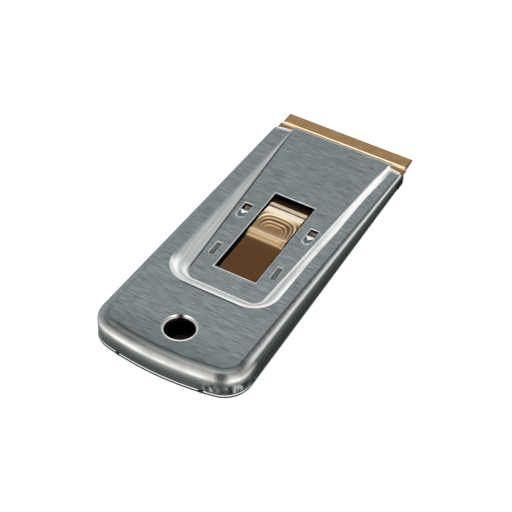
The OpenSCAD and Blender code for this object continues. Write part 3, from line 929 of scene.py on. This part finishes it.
# Painted highlight and shade down the rolled edge: 0 is the level of the top, one half is where the
# side is upright
SIDE_PAINTED_LIGHT = ((0.0, "#5a6265"), (0.008, "#666d6f"), (0.03, "#a9acab"), (0.06, "#e4e5e3"),
              (0.1, "#fafaf8"), (0.15, "#c4c6c4"), (0.2, "#6a6f6d"), (0.26, "#4a504e"),
              (0.5, "#464d4b"), (1.0, "#3b4240"))
REAR_PAINTED_LIGHT = ((0.0, "#4b5356"), (0.03, "#555c5e"), (0.08, "#8a8a8a"), (0.18, "#b5b2af"),
              (0.3, "#e9e8e5"), (0.4, "#d6d5d2"), (0.52, "#8f9190"), (0.75, "#606564"),
              (1.0, "#484e4d"))
# Painted light and shade up the hem at the rear: a highlight on the trimmed edge, shade in the crease
# and a line of light over it
HEM_PAINTED_LIGHT = ((0.0, "#0b0d0d"), (0.08, "#0b0d0d"), (0.14, "#f2f3f1"), (0.44, "#f2f3f1"),
             (0.5, "#0b0d0d"), (0.8, "#0b0d0d"), (0.86, "#868b89"), (0.95, "#3f4644"))
# The heights in mm between which these tones lie, and those between which they end
HEM_PAINTED_LIGHT_Z = (0.4, 1.4)
HEM_TOP_Z = (1.34, 1.4)
# Where the rolled edge changes, in mm: its rear, the dented +X corner with the size of the dents, the
# painted dark break in the highlight at this corner with its radii, and the brushed -X side. The dents
# and the notch start between these shares of the way down the edge
ROLL_REAR_Y = (-45, -38)
DENTS_X = (10, 14)
DENTS_Y = (-44, -41)
DENTS_FROM = (0.6, 0.8)
DENT_SIZE = (1.1, 1.1, 2)
# The dents' painted highlights and shade: between which values of the noise they grow, from which
# strength to which, and their colours
DENT_LIGHT_AND_SHADE = (((0.5, 0.66, 0, 0.7), "#b3b7b5"), ((0.34, 0.46, 0.8, 0), "#141716"))
# Darker patches in the painted highlight on the rear: their size in mm, and their limits and
# strengths in the same way
PATCH_SIZE = (9, 3, 3)
PATCH_LIMITS = (0.35, 0.6, 0.4, 0)
NOTCH_AT = (16.3, -47.3)
NOTCH_R = (0.6, 2)
NOTCH_FROM = (0.03, 0.1)
BRUSHED_SIDE_X = (-19, -13)
BRUSHED_SIDE_Y = (-50, -45)


def along_case(mat, y, front, rear):
    """A length that changes evenly from the mouth to the rear, in mm."""
    slope = (rear - front) / CASE_L
    change = add(mat, "Math", (y, slope), operation="MULTIPLY")
    return add(mat, "Math", ((front + slope * MOUTH_Y) / MM, change), operation="SUBTRACT")


def rolled_steel():
    """The rolled edge, with painted light: a dark line where it starts, a cream highlight and dark sides
    below.
    """
    mat = new_material("rolled_edge_steel")
    x, y, z = (coordinate(mat, axis) for axis in "XYZ")
    lines = grain(mat, (12, 0.5, 0.5))
    drop = add(mat, "Math", (along_case(mat, y, FRONT_H, REAR_H), z), operation="SUBTRACT")
    share = add(mat, "Math", (drop, along_case(mat, y, EDGE_R_FRONT, EDGE_R_REAR)), operation="DIVIDE")
    share = add(mat, "Math", (share, 0.5), operation="MULTIPLY")
    share = rippled(mat, share, lines, swing=0.004)
    # Painted highlight and shade down the rolled edge, on its sides and at its rear
    side = add(mat, "ValToRGB", (share,), stops=SIDE_PAINTED_LIGHT)
    rear = add(mat, "ValToRGB", (share,), stops=REAR_PAINTED_LIGHT)
    behind = add(mat, "MapRange", (y, *ROLL_REAR_Y, 1, 0))
    colour = add(mat, "Mix", {FACTOR: behind, UNDER: side, OVER: rear}, **COLOURS)
    # Darker patches that break up the painted highlight at the rear
    patches = add(mat, "MapRange", (grain(mat, PATCH_SIZE), *PATCH_LIMITS))
    patches = add(mat, "Math", (behind, patches), operation="MULTIPLY")
    colour = add(mat, "Mix", {FACTOR: patches, UNDER: colour, OVER: "#5c6160"}, **COLOURS)
    corner = add(mat, "Math", (add(mat, "MapRange", (x, *DENTS_X, 0, 1)),
                               add(mat, "MapRange", (y, *DENTS_Y, 1, 0))), operation="MULTIPLY")
    low = add(mat, "MapRange", (share, *DENTS_FROM, 0, 1))
    low = add(mat, "Math", (low, corner), operation="MULTIPLY")
    dents = grain(mat, DENT_SIZE, 1.0, 0.5)
    # Painted highlight and shade on the dents
    for limits, tone in DENT_LIGHT_AND_SHADE:
        dent = add(mat, "Math", (low, add(mat, "MapRange", (dents, *limits))), operation="MULTIPLY")
        colour = add(mat, "Mix", {FACTOR: dent, UNDER: colour, OVER: tone}, **COLOURS)
    # Painted shade: a dark break in the highlight at the +X rear corner
    notch = add(mat, "Math", (spot(mat, x, y, NOTCH_AT, *NOTCH_R),
                              add(mat, "MapRange", (share, *NOTCH_FROM, 0, 0.9))), operation="MULTIPLY")
    colour = add(mat, "Mix", {FACTOR: notch, UNDER: colour, OVER: "#3c4140"}, **COLOURS)
    left = add(mat, "Math", (add(mat, "MapRange", (x, *BRUSHED_SIDE_X, 1, 0)),
                             add(mat, "MapRange", (y, *BRUSHED_SIDE_Y, 0, 1))), operation="MULTIPLY")
    colour = add(mat, "Mix", {FACTOR: left, UNDER: colour, OVER: brush_lines(mat)[1]}, **COLOURS)
    # Painted highlight and shade on the hem, at the rear
    hem = add(mat, "Math", (add(mat, "MapRange", (z, *HEM_TOP_Z, 1, 0)), behind), operation="MULTIPLY")
    hem_share = add(mat, "MapRange", (z, *HEM_PAINTED_LIGHT_Z, 0, 1))
    hem_tone = add(mat, "ValToRGB", (hem_share,), stops=HEM_PAINTED_LIGHT)
    colour = add(mat, "Mix", {FACTOR: hem, UNDER: colour, OVER: hem_tone}, **COLOURS)
    return metal_shader(mat, colour, roughness=0.27, lines=lines, rim=0.4)


# The turned edge of the hang hole has a painted dark spot of shade at its back and a painted white
# highlight in front, on the camera's line of sight, with these radii in mm
SIGHT = (0.48, -0.88)
LIP_SHADE_R = (0.3, 1.3)
LIP_HIGHLIGHT_R = (2, 4)


def lip_steel():
    """The turned edge of the hang hole: polished by the punch, a painted highlight in front, painted shade
    at its back.
    """
    mat = new_material("lip_steel_painted_light")
    x, y = (coordinate(mat, axis) for axis in "XY")
    lines = grain(mat, (2, 0.3, 0.3))
    colour = streaked(mat, lines, "#bfc1bf", "#d4d4d1")
    reach = (HANG_R + HANG_LIP_R / 2) / MM
    far_side = (-SIGHT[0] * reach, HANG_Y / MM - SIGHT[1] * reach)
    near_side = (SIGHT[0] * reach, HANG_Y / MM + SIGHT[1] * reach)
    # Painted shade at the back of the lip and a painted highlight in front
    dark = spot(mat, x, y, far_side, *LIP_SHADE_R)
    colour = add(mat, "Mix", {FACTOR: dark, UNDER: colour, OVER: "#2b2725"}, **COLOURS)
    white = spot(mat, x, y, near_side, *LIP_HIGHLIGHT_R)
    colour = add(mat, "Mix", {FACTOR: white, UNDER: colour, OVER: "#ffffff"}, **COLOURS)
    metallic = add(mat, "MapRange", (white, 0, 1, 1, 0.3))
    return metal_shader(mat, colour, roughness=0.24, lines=lines, metallic=metallic)


# Shares of the way up the wall of the sunk panel, from the start of its rounded foot to the end of its
# rounded brow: where each of them changes into the wall, how much lower the brow starts at the rear,
# and the grey streak, a painted reflection, along the middle of the +X wall
WALL_FOOT = (0.34, 0.45)
WALL_BROW = (0.66, 0.9)
REAR_BROW_SHIFT = 0.12
GREY_STREAK = ((0.0, 1.0), (0.475, 1.0), (0.495, 0.0), (0.51, 0.0), (0.53, 1.0), (1.0, 1.0))
# The shares between which the painted shade at the foot gives way to the brow, the values of the noise
# between which the +X wall's streaks turn white, and how white the painted highlight makes the foot
# and the brow further back than its front
ABOVE_FOOT = (0.4, 0.6)
WALL_STREAKS = (0.38, 0.5)
FRONT_SHINE = 0.85
# Where the wall changes, in mm: its rear, its two sides, the end of the grey streak and its front
WALL_REAR_Y = (-20, -16)
WALL_SIDES_X = (-2, 2)
STREAK_END_Y = (0, 14)
WALL_FRONT_Y = (36, 43)


def wall_steel():
    """The drawn wall of the sunk panel, its light painted on: white, and light grey on its left side."""
    mat = new_material("drawn_wall_steel")
    x, y = (coordinate(mat, axis) for axis in "XY")
    ring = add(mat, "SeparateXYZ", (add(mat, "TexCoord", output="UV"),), "Y")
    share = add(mat, "Math", (ring, RINGS / WALL_RINGS), operation="MULTIPLY")
    lines = grain(mat, (16, 16, 0.5), 1.0, 0.5)
    rear = add(mat, "MapRange", (y, *WALL_REAR_Y, 1, 0))
    # Painted highlight: the +X side and the rear of the wall are white, the left side light grey
    left = streaked(mat, lines, "#a8aeac", "#bfc4c2")
    right = streaked(mat, lines, "#e0e4e4", "#ffffff", WALL_STREAKS)
    clear = add(mat, "Math", (add(mat, "ValToRGB", (share,), stops=GREY_STREAK),
                              add(mat, "MapRange", (y, *STREAK_END_Y, 0, 1))), operation="MAXIMUM")
    right = add(mat, "Mix", {FACTOR: clear, UNDER: "#c8cece", OVER: right}, **COLOURS)
    painted_white = add(mat, "Math", (rear, add(mat, "MapRange", (x, *WALL_SIDES_X, 0, 1))), operation="MAXIMUM")
    wall = add(mat, "Mix", {FACTOR: painted_white, UNDER: left, OVER: right}, **COLOURS)
    shift = add(mat, "Math", (rear, REAR_BROW_SHIFT), operation="MULTIPLY")
    upper = add(mat, "Math", (share, shift), operation="ADD")
    on_wall = add(mat, "Math", (add(mat, "MapRange", (share, *WALL_FOOT, 0, 1)),
                                add(mat, "MapRange", (upper, *WALL_BROW, 1, 0))), operation="MINIMUM")
    # The painted white reaches over the foot and the brow, except near the front
    highlight_mask = add(mat, "Math", (add(mat, "MapRange", (y, *WALL_FRONT_Y, 1, 0)), painted_white), operation="MULTIPLY")
    highlight_mask = add(mat, "Math", (highlight_mask, FRONT_SHINE), operation="MULTIPLY")
    on_wall = add(mat, "Math", (on_wall, highlight_mask), operation="MAXIMUM")
    # Painted shade: a dark line at the foot, and a dark brow at the rear
    brow = add(mat, "Mix", {FACTOR: rear, UNDER: brush_lines(mat)[1], OVER: "#464f53"}, **COLOURS)
    above = add(mat, "MapRange", (share, *ABOVE_FOOT, 0, 1))
    edge = add(mat, "Mix", {FACTOR: above, UNDER: "#2c3236", OVER: brow}, **COLOURS)
    colour = add(mat, "Mix", {FACTOR: on_wall, UNDER: edge, OVER: wall}, **COLOURS)
    # Painted highlight: the curled front ends are white on the wall too
    curl = curled_front(mat, x, y)
    colour = add(mat, "Mix", {FACTOR: curl, UNDER: colour, OVER: "#ffffff"}, **COLOURS)
    return metal_shader(mat, colour, roughness=0.34, metallic=0.45)


# Tones along the thumb spring, between these places in mm, with painted highlights on its ridges and
# step and painted shade in its groove
LEAF_TONES_AND_LIGHT_Y = (-2, 16)
LEAF_TONES_AND_LIGHT = ((0.0, "#7d5638"), (0.155, "#82603f"), (0.19, "#a68b66"), (0.285, "#b69c74"),
              (0.305, "#f4e2c0"), (0.34, "#a3855b"), (0.5, "#9c7e58"), (0.58, "#80623f"),
              (0.66, "#866742"), (0.7, "#c3a577"), (0.745, "#fff2da"), (0.855, "#fff2da"),
              (0.87, "#4a3320"), (0.885, "#4a3320"), (0.9, "#ecd9b8"), (1.0, "#a08a66"))
# Painted light and shade of the finger cup from its middle out: a highlight on each pressed step and
# shade behind it
CUP_PAINTED_LIGHT = ((0.0, "#947551"), (0.42, "#8b6c48"), (0.46, "#b99b6e"), (0.5, "#76583a"),
             (0.56, "#735537"), (0.61, "#d3b98a"), (0.65, "#5f4427"), (0.73, "#4e3822"),
             (0.78, "#cdb384"), (0.82, "#715434"), (0.87, "#7f613c"), (0.92, "#f6e6c8"),
             (1.0, "#f2e0c2"))
# Where the cup's painted light and shade come in along the case, in mm, how strong they get, and
# between which shares of the way to its rim they end
CUP_PAINTED_LIGHT_Y = (4.5, 8)
CUP_PAINTED_LIGHT_STRENGTH = 0.85
CUP_PAINTED_LIGHT_END = (0.94, 0.97)
# The shaded gap beside the leaf and the ears beyond it, outwards from the middle, and the front end
# of the mirror-like tail, in mm
LEAF_GAP_X = (5.5, 6)
EARS_X = (8, 8.5)
TAIL_FRONT_Y = (1, 1.6)
# The ears are mottled grey: the size of the patches in mm and the values of the noise between which
# they come in
MOTTLE_SIZE = (3, 0.5, 0.5)
MOTTLE_LIMITS = (0.45, 0.6)


def cup_reach(mat, side, y):
    """0 at the middle of the finger cup and 1 at its rounded rim."""
    terms = []
    for offset, size in ((side, CUP_HALF), (add(mat, "Math", (y, CUP_Y), operation="SUBTRACT"), CUP_L)):
        share = add(mat, "Math", (offset, size), operation="DIVIDE")
        terms.append(add(mat, "Math", (share, CUP_BEND), operation="POWER"))
    total = add(mat, "Math", terms, operation="ADD")
    return add(mat, "Math", (total, 1 / CUP_BEND), operation="POWER")


def spring_brass():
    """The leaf's brass: gold with painted light and shade on the thumb rest, dark brown and mirror-like on
    its tail.
    """
    mat = new_material("spring_brass")
    y = coordinate(mat, "Y")
    side = add(mat, "Math", (coordinate(mat, "X"),), operation="ABSOLUTE")
    lines = grain(mat, (5, 0.25, 0.25))
    share = rippled(mat, add(mat, "MapRange", (y, *LEAF_TONES_AND_LIGHT_Y, 0, 1)), lines, swing=0.008)
    # The leaf's own tones with painted highlights and shade along it
    colour = add(mat, "ValToRGB", (share,), stops=LEAF_TONES_AND_LIGHT)
    away = rippled(mat, cup_reach(mat, side, y), lines, swing=0.01)
    in_cup = add(mat, "Math", (add(mat, "MapRange", (y, *CUP_PAINTED_LIGHT_Y, 0, CUP_PAINTED_LIGHT_STRENGTH)),
                               add(mat, "MapRange", (away, *CUP_PAINTED_LIGHT_END, 1, 0))), operation="MULTIPLY")
    # Painted highlight on each step of the cup, with painted shade behind it
    cup = add(mat, "ValToRGB", (away,), stops=CUP_PAINTED_LIGHT)
    colour = add(mat, "Mix", {FACTOR: in_cup, UNDER: colour, OVER: cup}, **COLOURS)
    gap = add(mat, "MapRange", (side, *LEAF_GAP_X, 0, 1))
    colour = add(mat, "Mix", {FACTOR: gap, UNDER: colour, OVER: "#120d09"}, **COLOURS)
    mottle = add(mat, "MapRange", (grain(mat, MOTTLE_SIZE), *MOTTLE_LIMITS, 0, 1))
    ear = add(mat, "MapRange", (side, *EARS_X, 0, 1))
    ear = add(mat, "Math", (ear, mottle), operation="MULTIPLY")
    colour = add(mat, "Mix", {FACTOR: ear, UNDER: colour, OVER: "#8d8a84"}, **COLOURS)
    streak = add(mat, "MapRange", (lines, *STREAKS, 0, 0.3))
    colour = add(mat, "Mix", {FACTOR: streak, UNDER: colour, OVER: "#6b4a2c"}, **COLOURS)
    metallic = add(mat, "MapRange", (y, *TAIL_FRONT_Y, 1, 0.4))
    return metal_shader(mat, colour, roughness=0.2, lines=lines, metallic=metallic)


# Where the plate's rim is painted dark as shade, in mm along the case and over the floor
DARK_RIM_Y = (-42, -36)
DARK_RIM_Z = (0.01, 0.03)


def plate_steel():
    """The bottom plate: satin steel, whose rim is painted dark at the rear, as shade under the cover."""
    mat = new_material("plain_steel")
    y, z = (coordinate(mat, axis) for axis in "YZ")
    lines = grain(mat, (8, 0.5, 0.5))
    flat = streaked(mat, lines, "#4b504e", "#626765")
    # Painted shade along the rim at the rear
    dark = add(mat, "Math", (add(mat, "MapRange", (y, *DARK_RIM_Y, 1, 0)),
                             add(mat, "MapRange", (z, *DARK_RIM_Z, 0, 1))), operation="MULTIPLY")
    colour = add(mat, "Mix", {FACTOR: dark, UNDER: flat, OVER: "#141716"}, **COLOURS)
    return metal_shader(mat, colour, roughness=0.3, lines=lines, rim=0.2)


# Tones of a pocket's floor, with a painted highlight at its hole, from the hole back, between these
# places in mm. At the pocket's sides they come sooner, by a share for each mm from its middle
POCKET_TONES_AND_LIGHT_Y = (5.1, 8.6)
POCKET_SLANT = 0.28
POCKET_TONES_AND_LIGHT = ((0.0, "#9aa3a5"), (0.12, "#f4f5f4"), (0.38, "#ffffff"), (0.46, "#545e63"),
                (0.8, "#59646a"), (0.92, "#7f8a8e"), (1.0, "#c6cccc"))


def pocket_steel():
    """The floor of each pocket: a painted highlight where it bends down at the hole, darker further back.
    """
    mat = new_material("pressed_pocket_steel")
    lines = grain(mat, (2, 0.3, 0.3))
    side = add(mat, "Math", (coordinate(mat, "X"),), operation="ABSOLUTE")
    offset = add(mat, "Math", (side, CATCH_X / MM), operation="SUBTRACT")
    offset = add(mat, "Math", (offset,), operation="ABSOLUTE")
    slant = add(mat, "Math", (offset, POCKET_SLANT), operation="MULTIPLY")
    share = add(mat, "MapRange", (coordinate(mat, "Y"), *POCKET_TONES_AND_LIGHT_Y, 1, 0))
    share = add(mat, "Math", (share, slant), operation="ADD")
    share = rippled(mat, share, lines, swing=0.06)
    # Painted highlight next to the hole
    colour = add(mat, "ValToRGB", (share,), stops=POCKET_TONES_AND_LIGHT)
    return metal_shader(mat, colour, roughness=0.35, lines=lines, metallic=0.6)


# Darker colour at the ends of the blade: how strong, over how many mm, and where it starts on each piece
END_DARKNESS = 0.85
END_DARKNESS_SOFT = 0.15
SPINE_END_DARKNESS_X = 18.7
CHANNEL_END_DARKNESS_X = 19.1


def darker_ends(mat, start):
    """Rises past a distance in mm from the middle, towards either end of the blade."""
    side = add(mat, "Math", (coordinate(mat, "X"),), operation="ABSOLUTE")
    return add(mat, "MapRange", (side, start, start + END_DARKNESS_SOFT, 0, END_DARKNESS))


# Where the painted highlight on the spine's crimp ends, where the carriage's channels come out of the
# painted shade and where the painted highlight on their front edge starts, in mm
CRIMP_HIGHLIGHT_Y = (45.95, 46.1)
CHANNEL_OUT_Y = (40, 43)
CHANNEL_HIGHLIGHT_Y = (44.85, 45.05)


def spine_brass():
    """The folded spine: satin brass with a fine grain, and a painted highlight on its crimped rear edge."""
    mat = new_material("spine_brass")
    lines = grain(mat, (3, 0.22, 0.22), 3)
    flat = streaked(mat, lines, "#97784f", "#bd9b6f")
    # Painted highlight on the crimped rear edge
    crimp_highlight = add(mat, "MapRange", (coordinate(mat, "Y"), *CRIMP_HIGHLIGHT_Y, 1, 0))
    colour = add(mat, "Mix", {FACTOR: crimp_highlight, UNDER: flat, OVER: "#f6e6c8"}, **COLOURS)
    dark = darker_ends(mat, SPINE_END_DARKNESS_X)
    colour = add(mat, "Mix", {FACTOR: dark, UNDER: colour, OVER: "#4b3a28"}, **COLOURS)
    return metal_shader(mat, colour, roughness=0.36, lines=lines, bump=0.2)


def carriage_brass():
    """Thin brass plating: painted shade inside the case, golden on the channels that reach out of the
    mouth.
    """
    mat = new_material("brass_plate")
    y = coordinate(mat, "Y")
    lines = grain(mat, (6, 0.4, 0.4))
    # Painted shade: the plating is near black inside the case
    inner = streaked(mat, lines, "#1d130b", "#33241a")
    # Painted highlight along the channels' front edge
    edge = add(mat, "MapRange", (y, *CHANNEL_HIGHLIGHT_Y, 0, 1))
    outer = add(mat, "Mix", {FACTOR: edge, UNDER: "#9a7a50", OVER: "#f6e6c8"}, **COLOURS)
    out = add(mat, "MapRange", (y, *CHANNEL_OUT_Y, 0, 1))
    colour = add(mat, "Mix", {FACTOR: out, UNDER: inner, OVER: outer}, **COLOURS)
    dark = darker_ends(mat, CHANNEL_END_DARKNESS_X)
    colour = add(mat, "Mix", {FACTOR: dark, UNDER: colour, OVER: "#33261a"}, **COLOURS)
    return metal_shader(mat, colour, roughness=0.4, lines=lines)


# Brightness of the studio by the height of the direction: on the far side and on the camera's side
FAR_SKY = ((0.0, 0.6), (0.45, 0.95), (0.55, 1.05), (0.7, 0.95), (0.78, 0.85), (0.85, 0.42),
           (0.935, 0.3), (0.975, 0.9), (1.0, 1.2))
NEAR_SKY = ((0.0, 0.3), (0.5, 0.9), (0.6, 1.0), (0.75, 1.1), (1.0, 1.2))
SKY_TOP = 1.2
# The way to the camera's side, and the cosines of the angle to it between which the two skies blend
CAMERA_SIDE = (0.483, -0.875, 0)
SIDE_BLEND = (-0.1, 0.3)


def make_world():
    """A studio of soft light: dim high up on the far side, bright on the camera's side."""
    world = bpy.data.worlds.new("studio")
    scene.world = world
    world.use_nodes = True
    world.node_tree.nodes.clear()
    way = add(world, "TexCoord", output="Generated")
    height = add(world, "MapRange", (add(world, "SeparateXYZ", (way,), "Z"), -1, 1, 0, 1))
    far, near = (add(world, "ValToRGB", (height,), stops=[(at, level / SKY_TOP) for at, level in sky])
                 for sky in (FAR_SKY, NEAR_SKY))
    nearer = add(world, "VectorMath", (way, CAMERA_SIDE), "Value", operation="DOT_PRODUCT")
    side = add(world, "MapRange", (nearer, *SIDE_BLEND, 0, 1))
    level = add(world, "Mix", {FACTOR: side, UNDER: far, OVER: near}, **COLOURS)
    back = add(world, "Background", {"Color": level, "Strength": SKY_TOP})
    add(world, "OutputWorld", {"Surface": back})


# The floor: its size in m, its height, and where its painted shade ends and its glow starts round
# the hang hole, as radii
FLOOR_SIZE = 6
FLOOR_Z = -0.02 * MM
SHADE_R = (4.2 * MM, 7 * MM)
GLOW_R = (5 * MM, 9 * MM)
GLOW = 0.45


def make_floor():
    """White paper, bright where it is seen round the scraper, with painted shade under the hang hole."""
    bpy.ops.object.select_all(action="DESELECT")
    bpy.ops.mesh.primitive_plane_add(size=FLOOR_SIZE, location=(0, 0, FLOOR_Z))
    floor = bpy.context.object
    floor.name = "floor"
    mat = new_material("white_paper")
    place = add(mat, "TexCoord", output="Object")
    away = add(mat, "VectorMath", (place, (0, HANG_Y, FLOOR_Z)), "Value", operation="DISTANCE")
    # Painted shade: the paper is dark under the hang hole
    paper = add(mat, "BsdfDiffuse", {"Color": add(mat, "MapRange", (away, *SHADE_R, 0.03, 0.85))})
    strength = add(mat, "MapRange", (away, *GLOW_R, 0, GLOW))
    glow = add(mat, "Emission", {"Color": "#ffffff", "Strength": strength})
    bright = add(mat, "AddShader", (paper, glow))
    seen = add(mat, "LightPath", output="Is Camera Ray")
    for kind in ("Is Glossy Ray", "Is Transmission Ray"):
        rays = add(mat, "LightPath", output=kind)
        seen = add(mat, "Math", (seen, rays), operation="ADD", use_clamp=True)
    surface = add(mat, "MixShader", (seen, paper, bright))
    add(mat, "OutputMaterial", {"Surface": surface})
    set_material(floor, mat)


def make_lamp(name, azimuth, elevation, distance, size, power, colour):
    """A soft box aimed at the object. Its azimuth is counted from the -Y side, towards +X."""
    az, el = math.radians(azimuth), math.radians(elevation)
    back = Vector((math.sin(az) * math.cos(el), -math.cos(az) * math.cos(el), math.sin(el)))
    data = bpy.data.lights.new(name, "AREA")
    data.shape = "RECTANGLE"
    data.size, data.size_y = size
    data.energy = power
    data.color = rgb(colour)[:3]
    lamp = bpy.data.objects.new(name, data)
    scene.collection.objects.link(lamp)
    lamp.location = back * distance
    lamp.rotation_mode = "QUATERNION"
    lamp.rotation_quaternion = (-back).to_track_quat("-Z", "Y")
    lamp.visible_camera = False


make_camera()
make_world()
make_floor()
make_lamp("overhead_box", azimuth=-130, elevation=78, distance=0.8, size=(0.6, 0.6), power=2.0,
          colour="#fff8ef")
scene.view_settings.view_transform = "Standard"

cover = make_cover([
    brushed_steel(),
    wall_steel(),
    rolled_steel(),
    # A painted highlight on the freshly sheared edges: a thin bright line round every cut hole
    metal("edge_highlight_steel", "#bcc0be", "#e2e4e2", roughness=0.3, streak=(1, 0.3), metallic=0.5),
    lip_steel(),
    # Unpolished steel inside the case: nearly black, as little light gets in
    metal("inner_sheet_steel", "#1c1e1f", "#27292a", roughness=0.5, streak=(5, 0.4)),
    pocket_steel(),
    # Steel marked by the press: a dull grey floor with fine lines along the grooves
    metal("pressed_groove_steel", "#35383a", "#6a6f71", roughness=0.4, streak=(0.3, 3), metallic=0.5),
])
dressed = (
    (cover, "top_cover", "case", "brushed_steel"),
    (make_plate(), "bottom_plate", "case", "plain_steel"),
    (make_spring(), "thumb_spring", "thumb_rest", "spring_brass"),
    (make_spine(), "blade_spine", "blade", "spine_brass"),
)
looks = {
    "bottom_plate": plate_steel(),
    # Steel tinted by the heat of welding: short dull brown marks in the seam
    "weld_spots": metal("heat_tinted_weld", "#241812", "#4b3426", roughness=0.5, streak=(0.6, 0.4)),
    "blade_carriage": carriage_brass(),
    "thumb_spring": spring_brass(),
    # Brass rivets with hammered heads: satin, a little paler than the leaf
    "spring_rivets": metal("rivet_brass", "#8f7a55", "#a58e64", roughness=0.3, streak=(1, 0.5)),
    # Ground blade steel: light grey, with long fine lines
    "razor_blade": metal("blade_steel", "#a9adab", "#cfd0cb", roughness=0.3, streak=(8, 0.3)),
    "blade_spine": spine_brass(),
}
for name, mat in looks.items():
    set_material(nodes[name], mat)
for piece, name, body, slot in dressed:
    if name in looks:
        set_material(piece, looks[name])
    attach(piece, body)
    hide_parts(name)
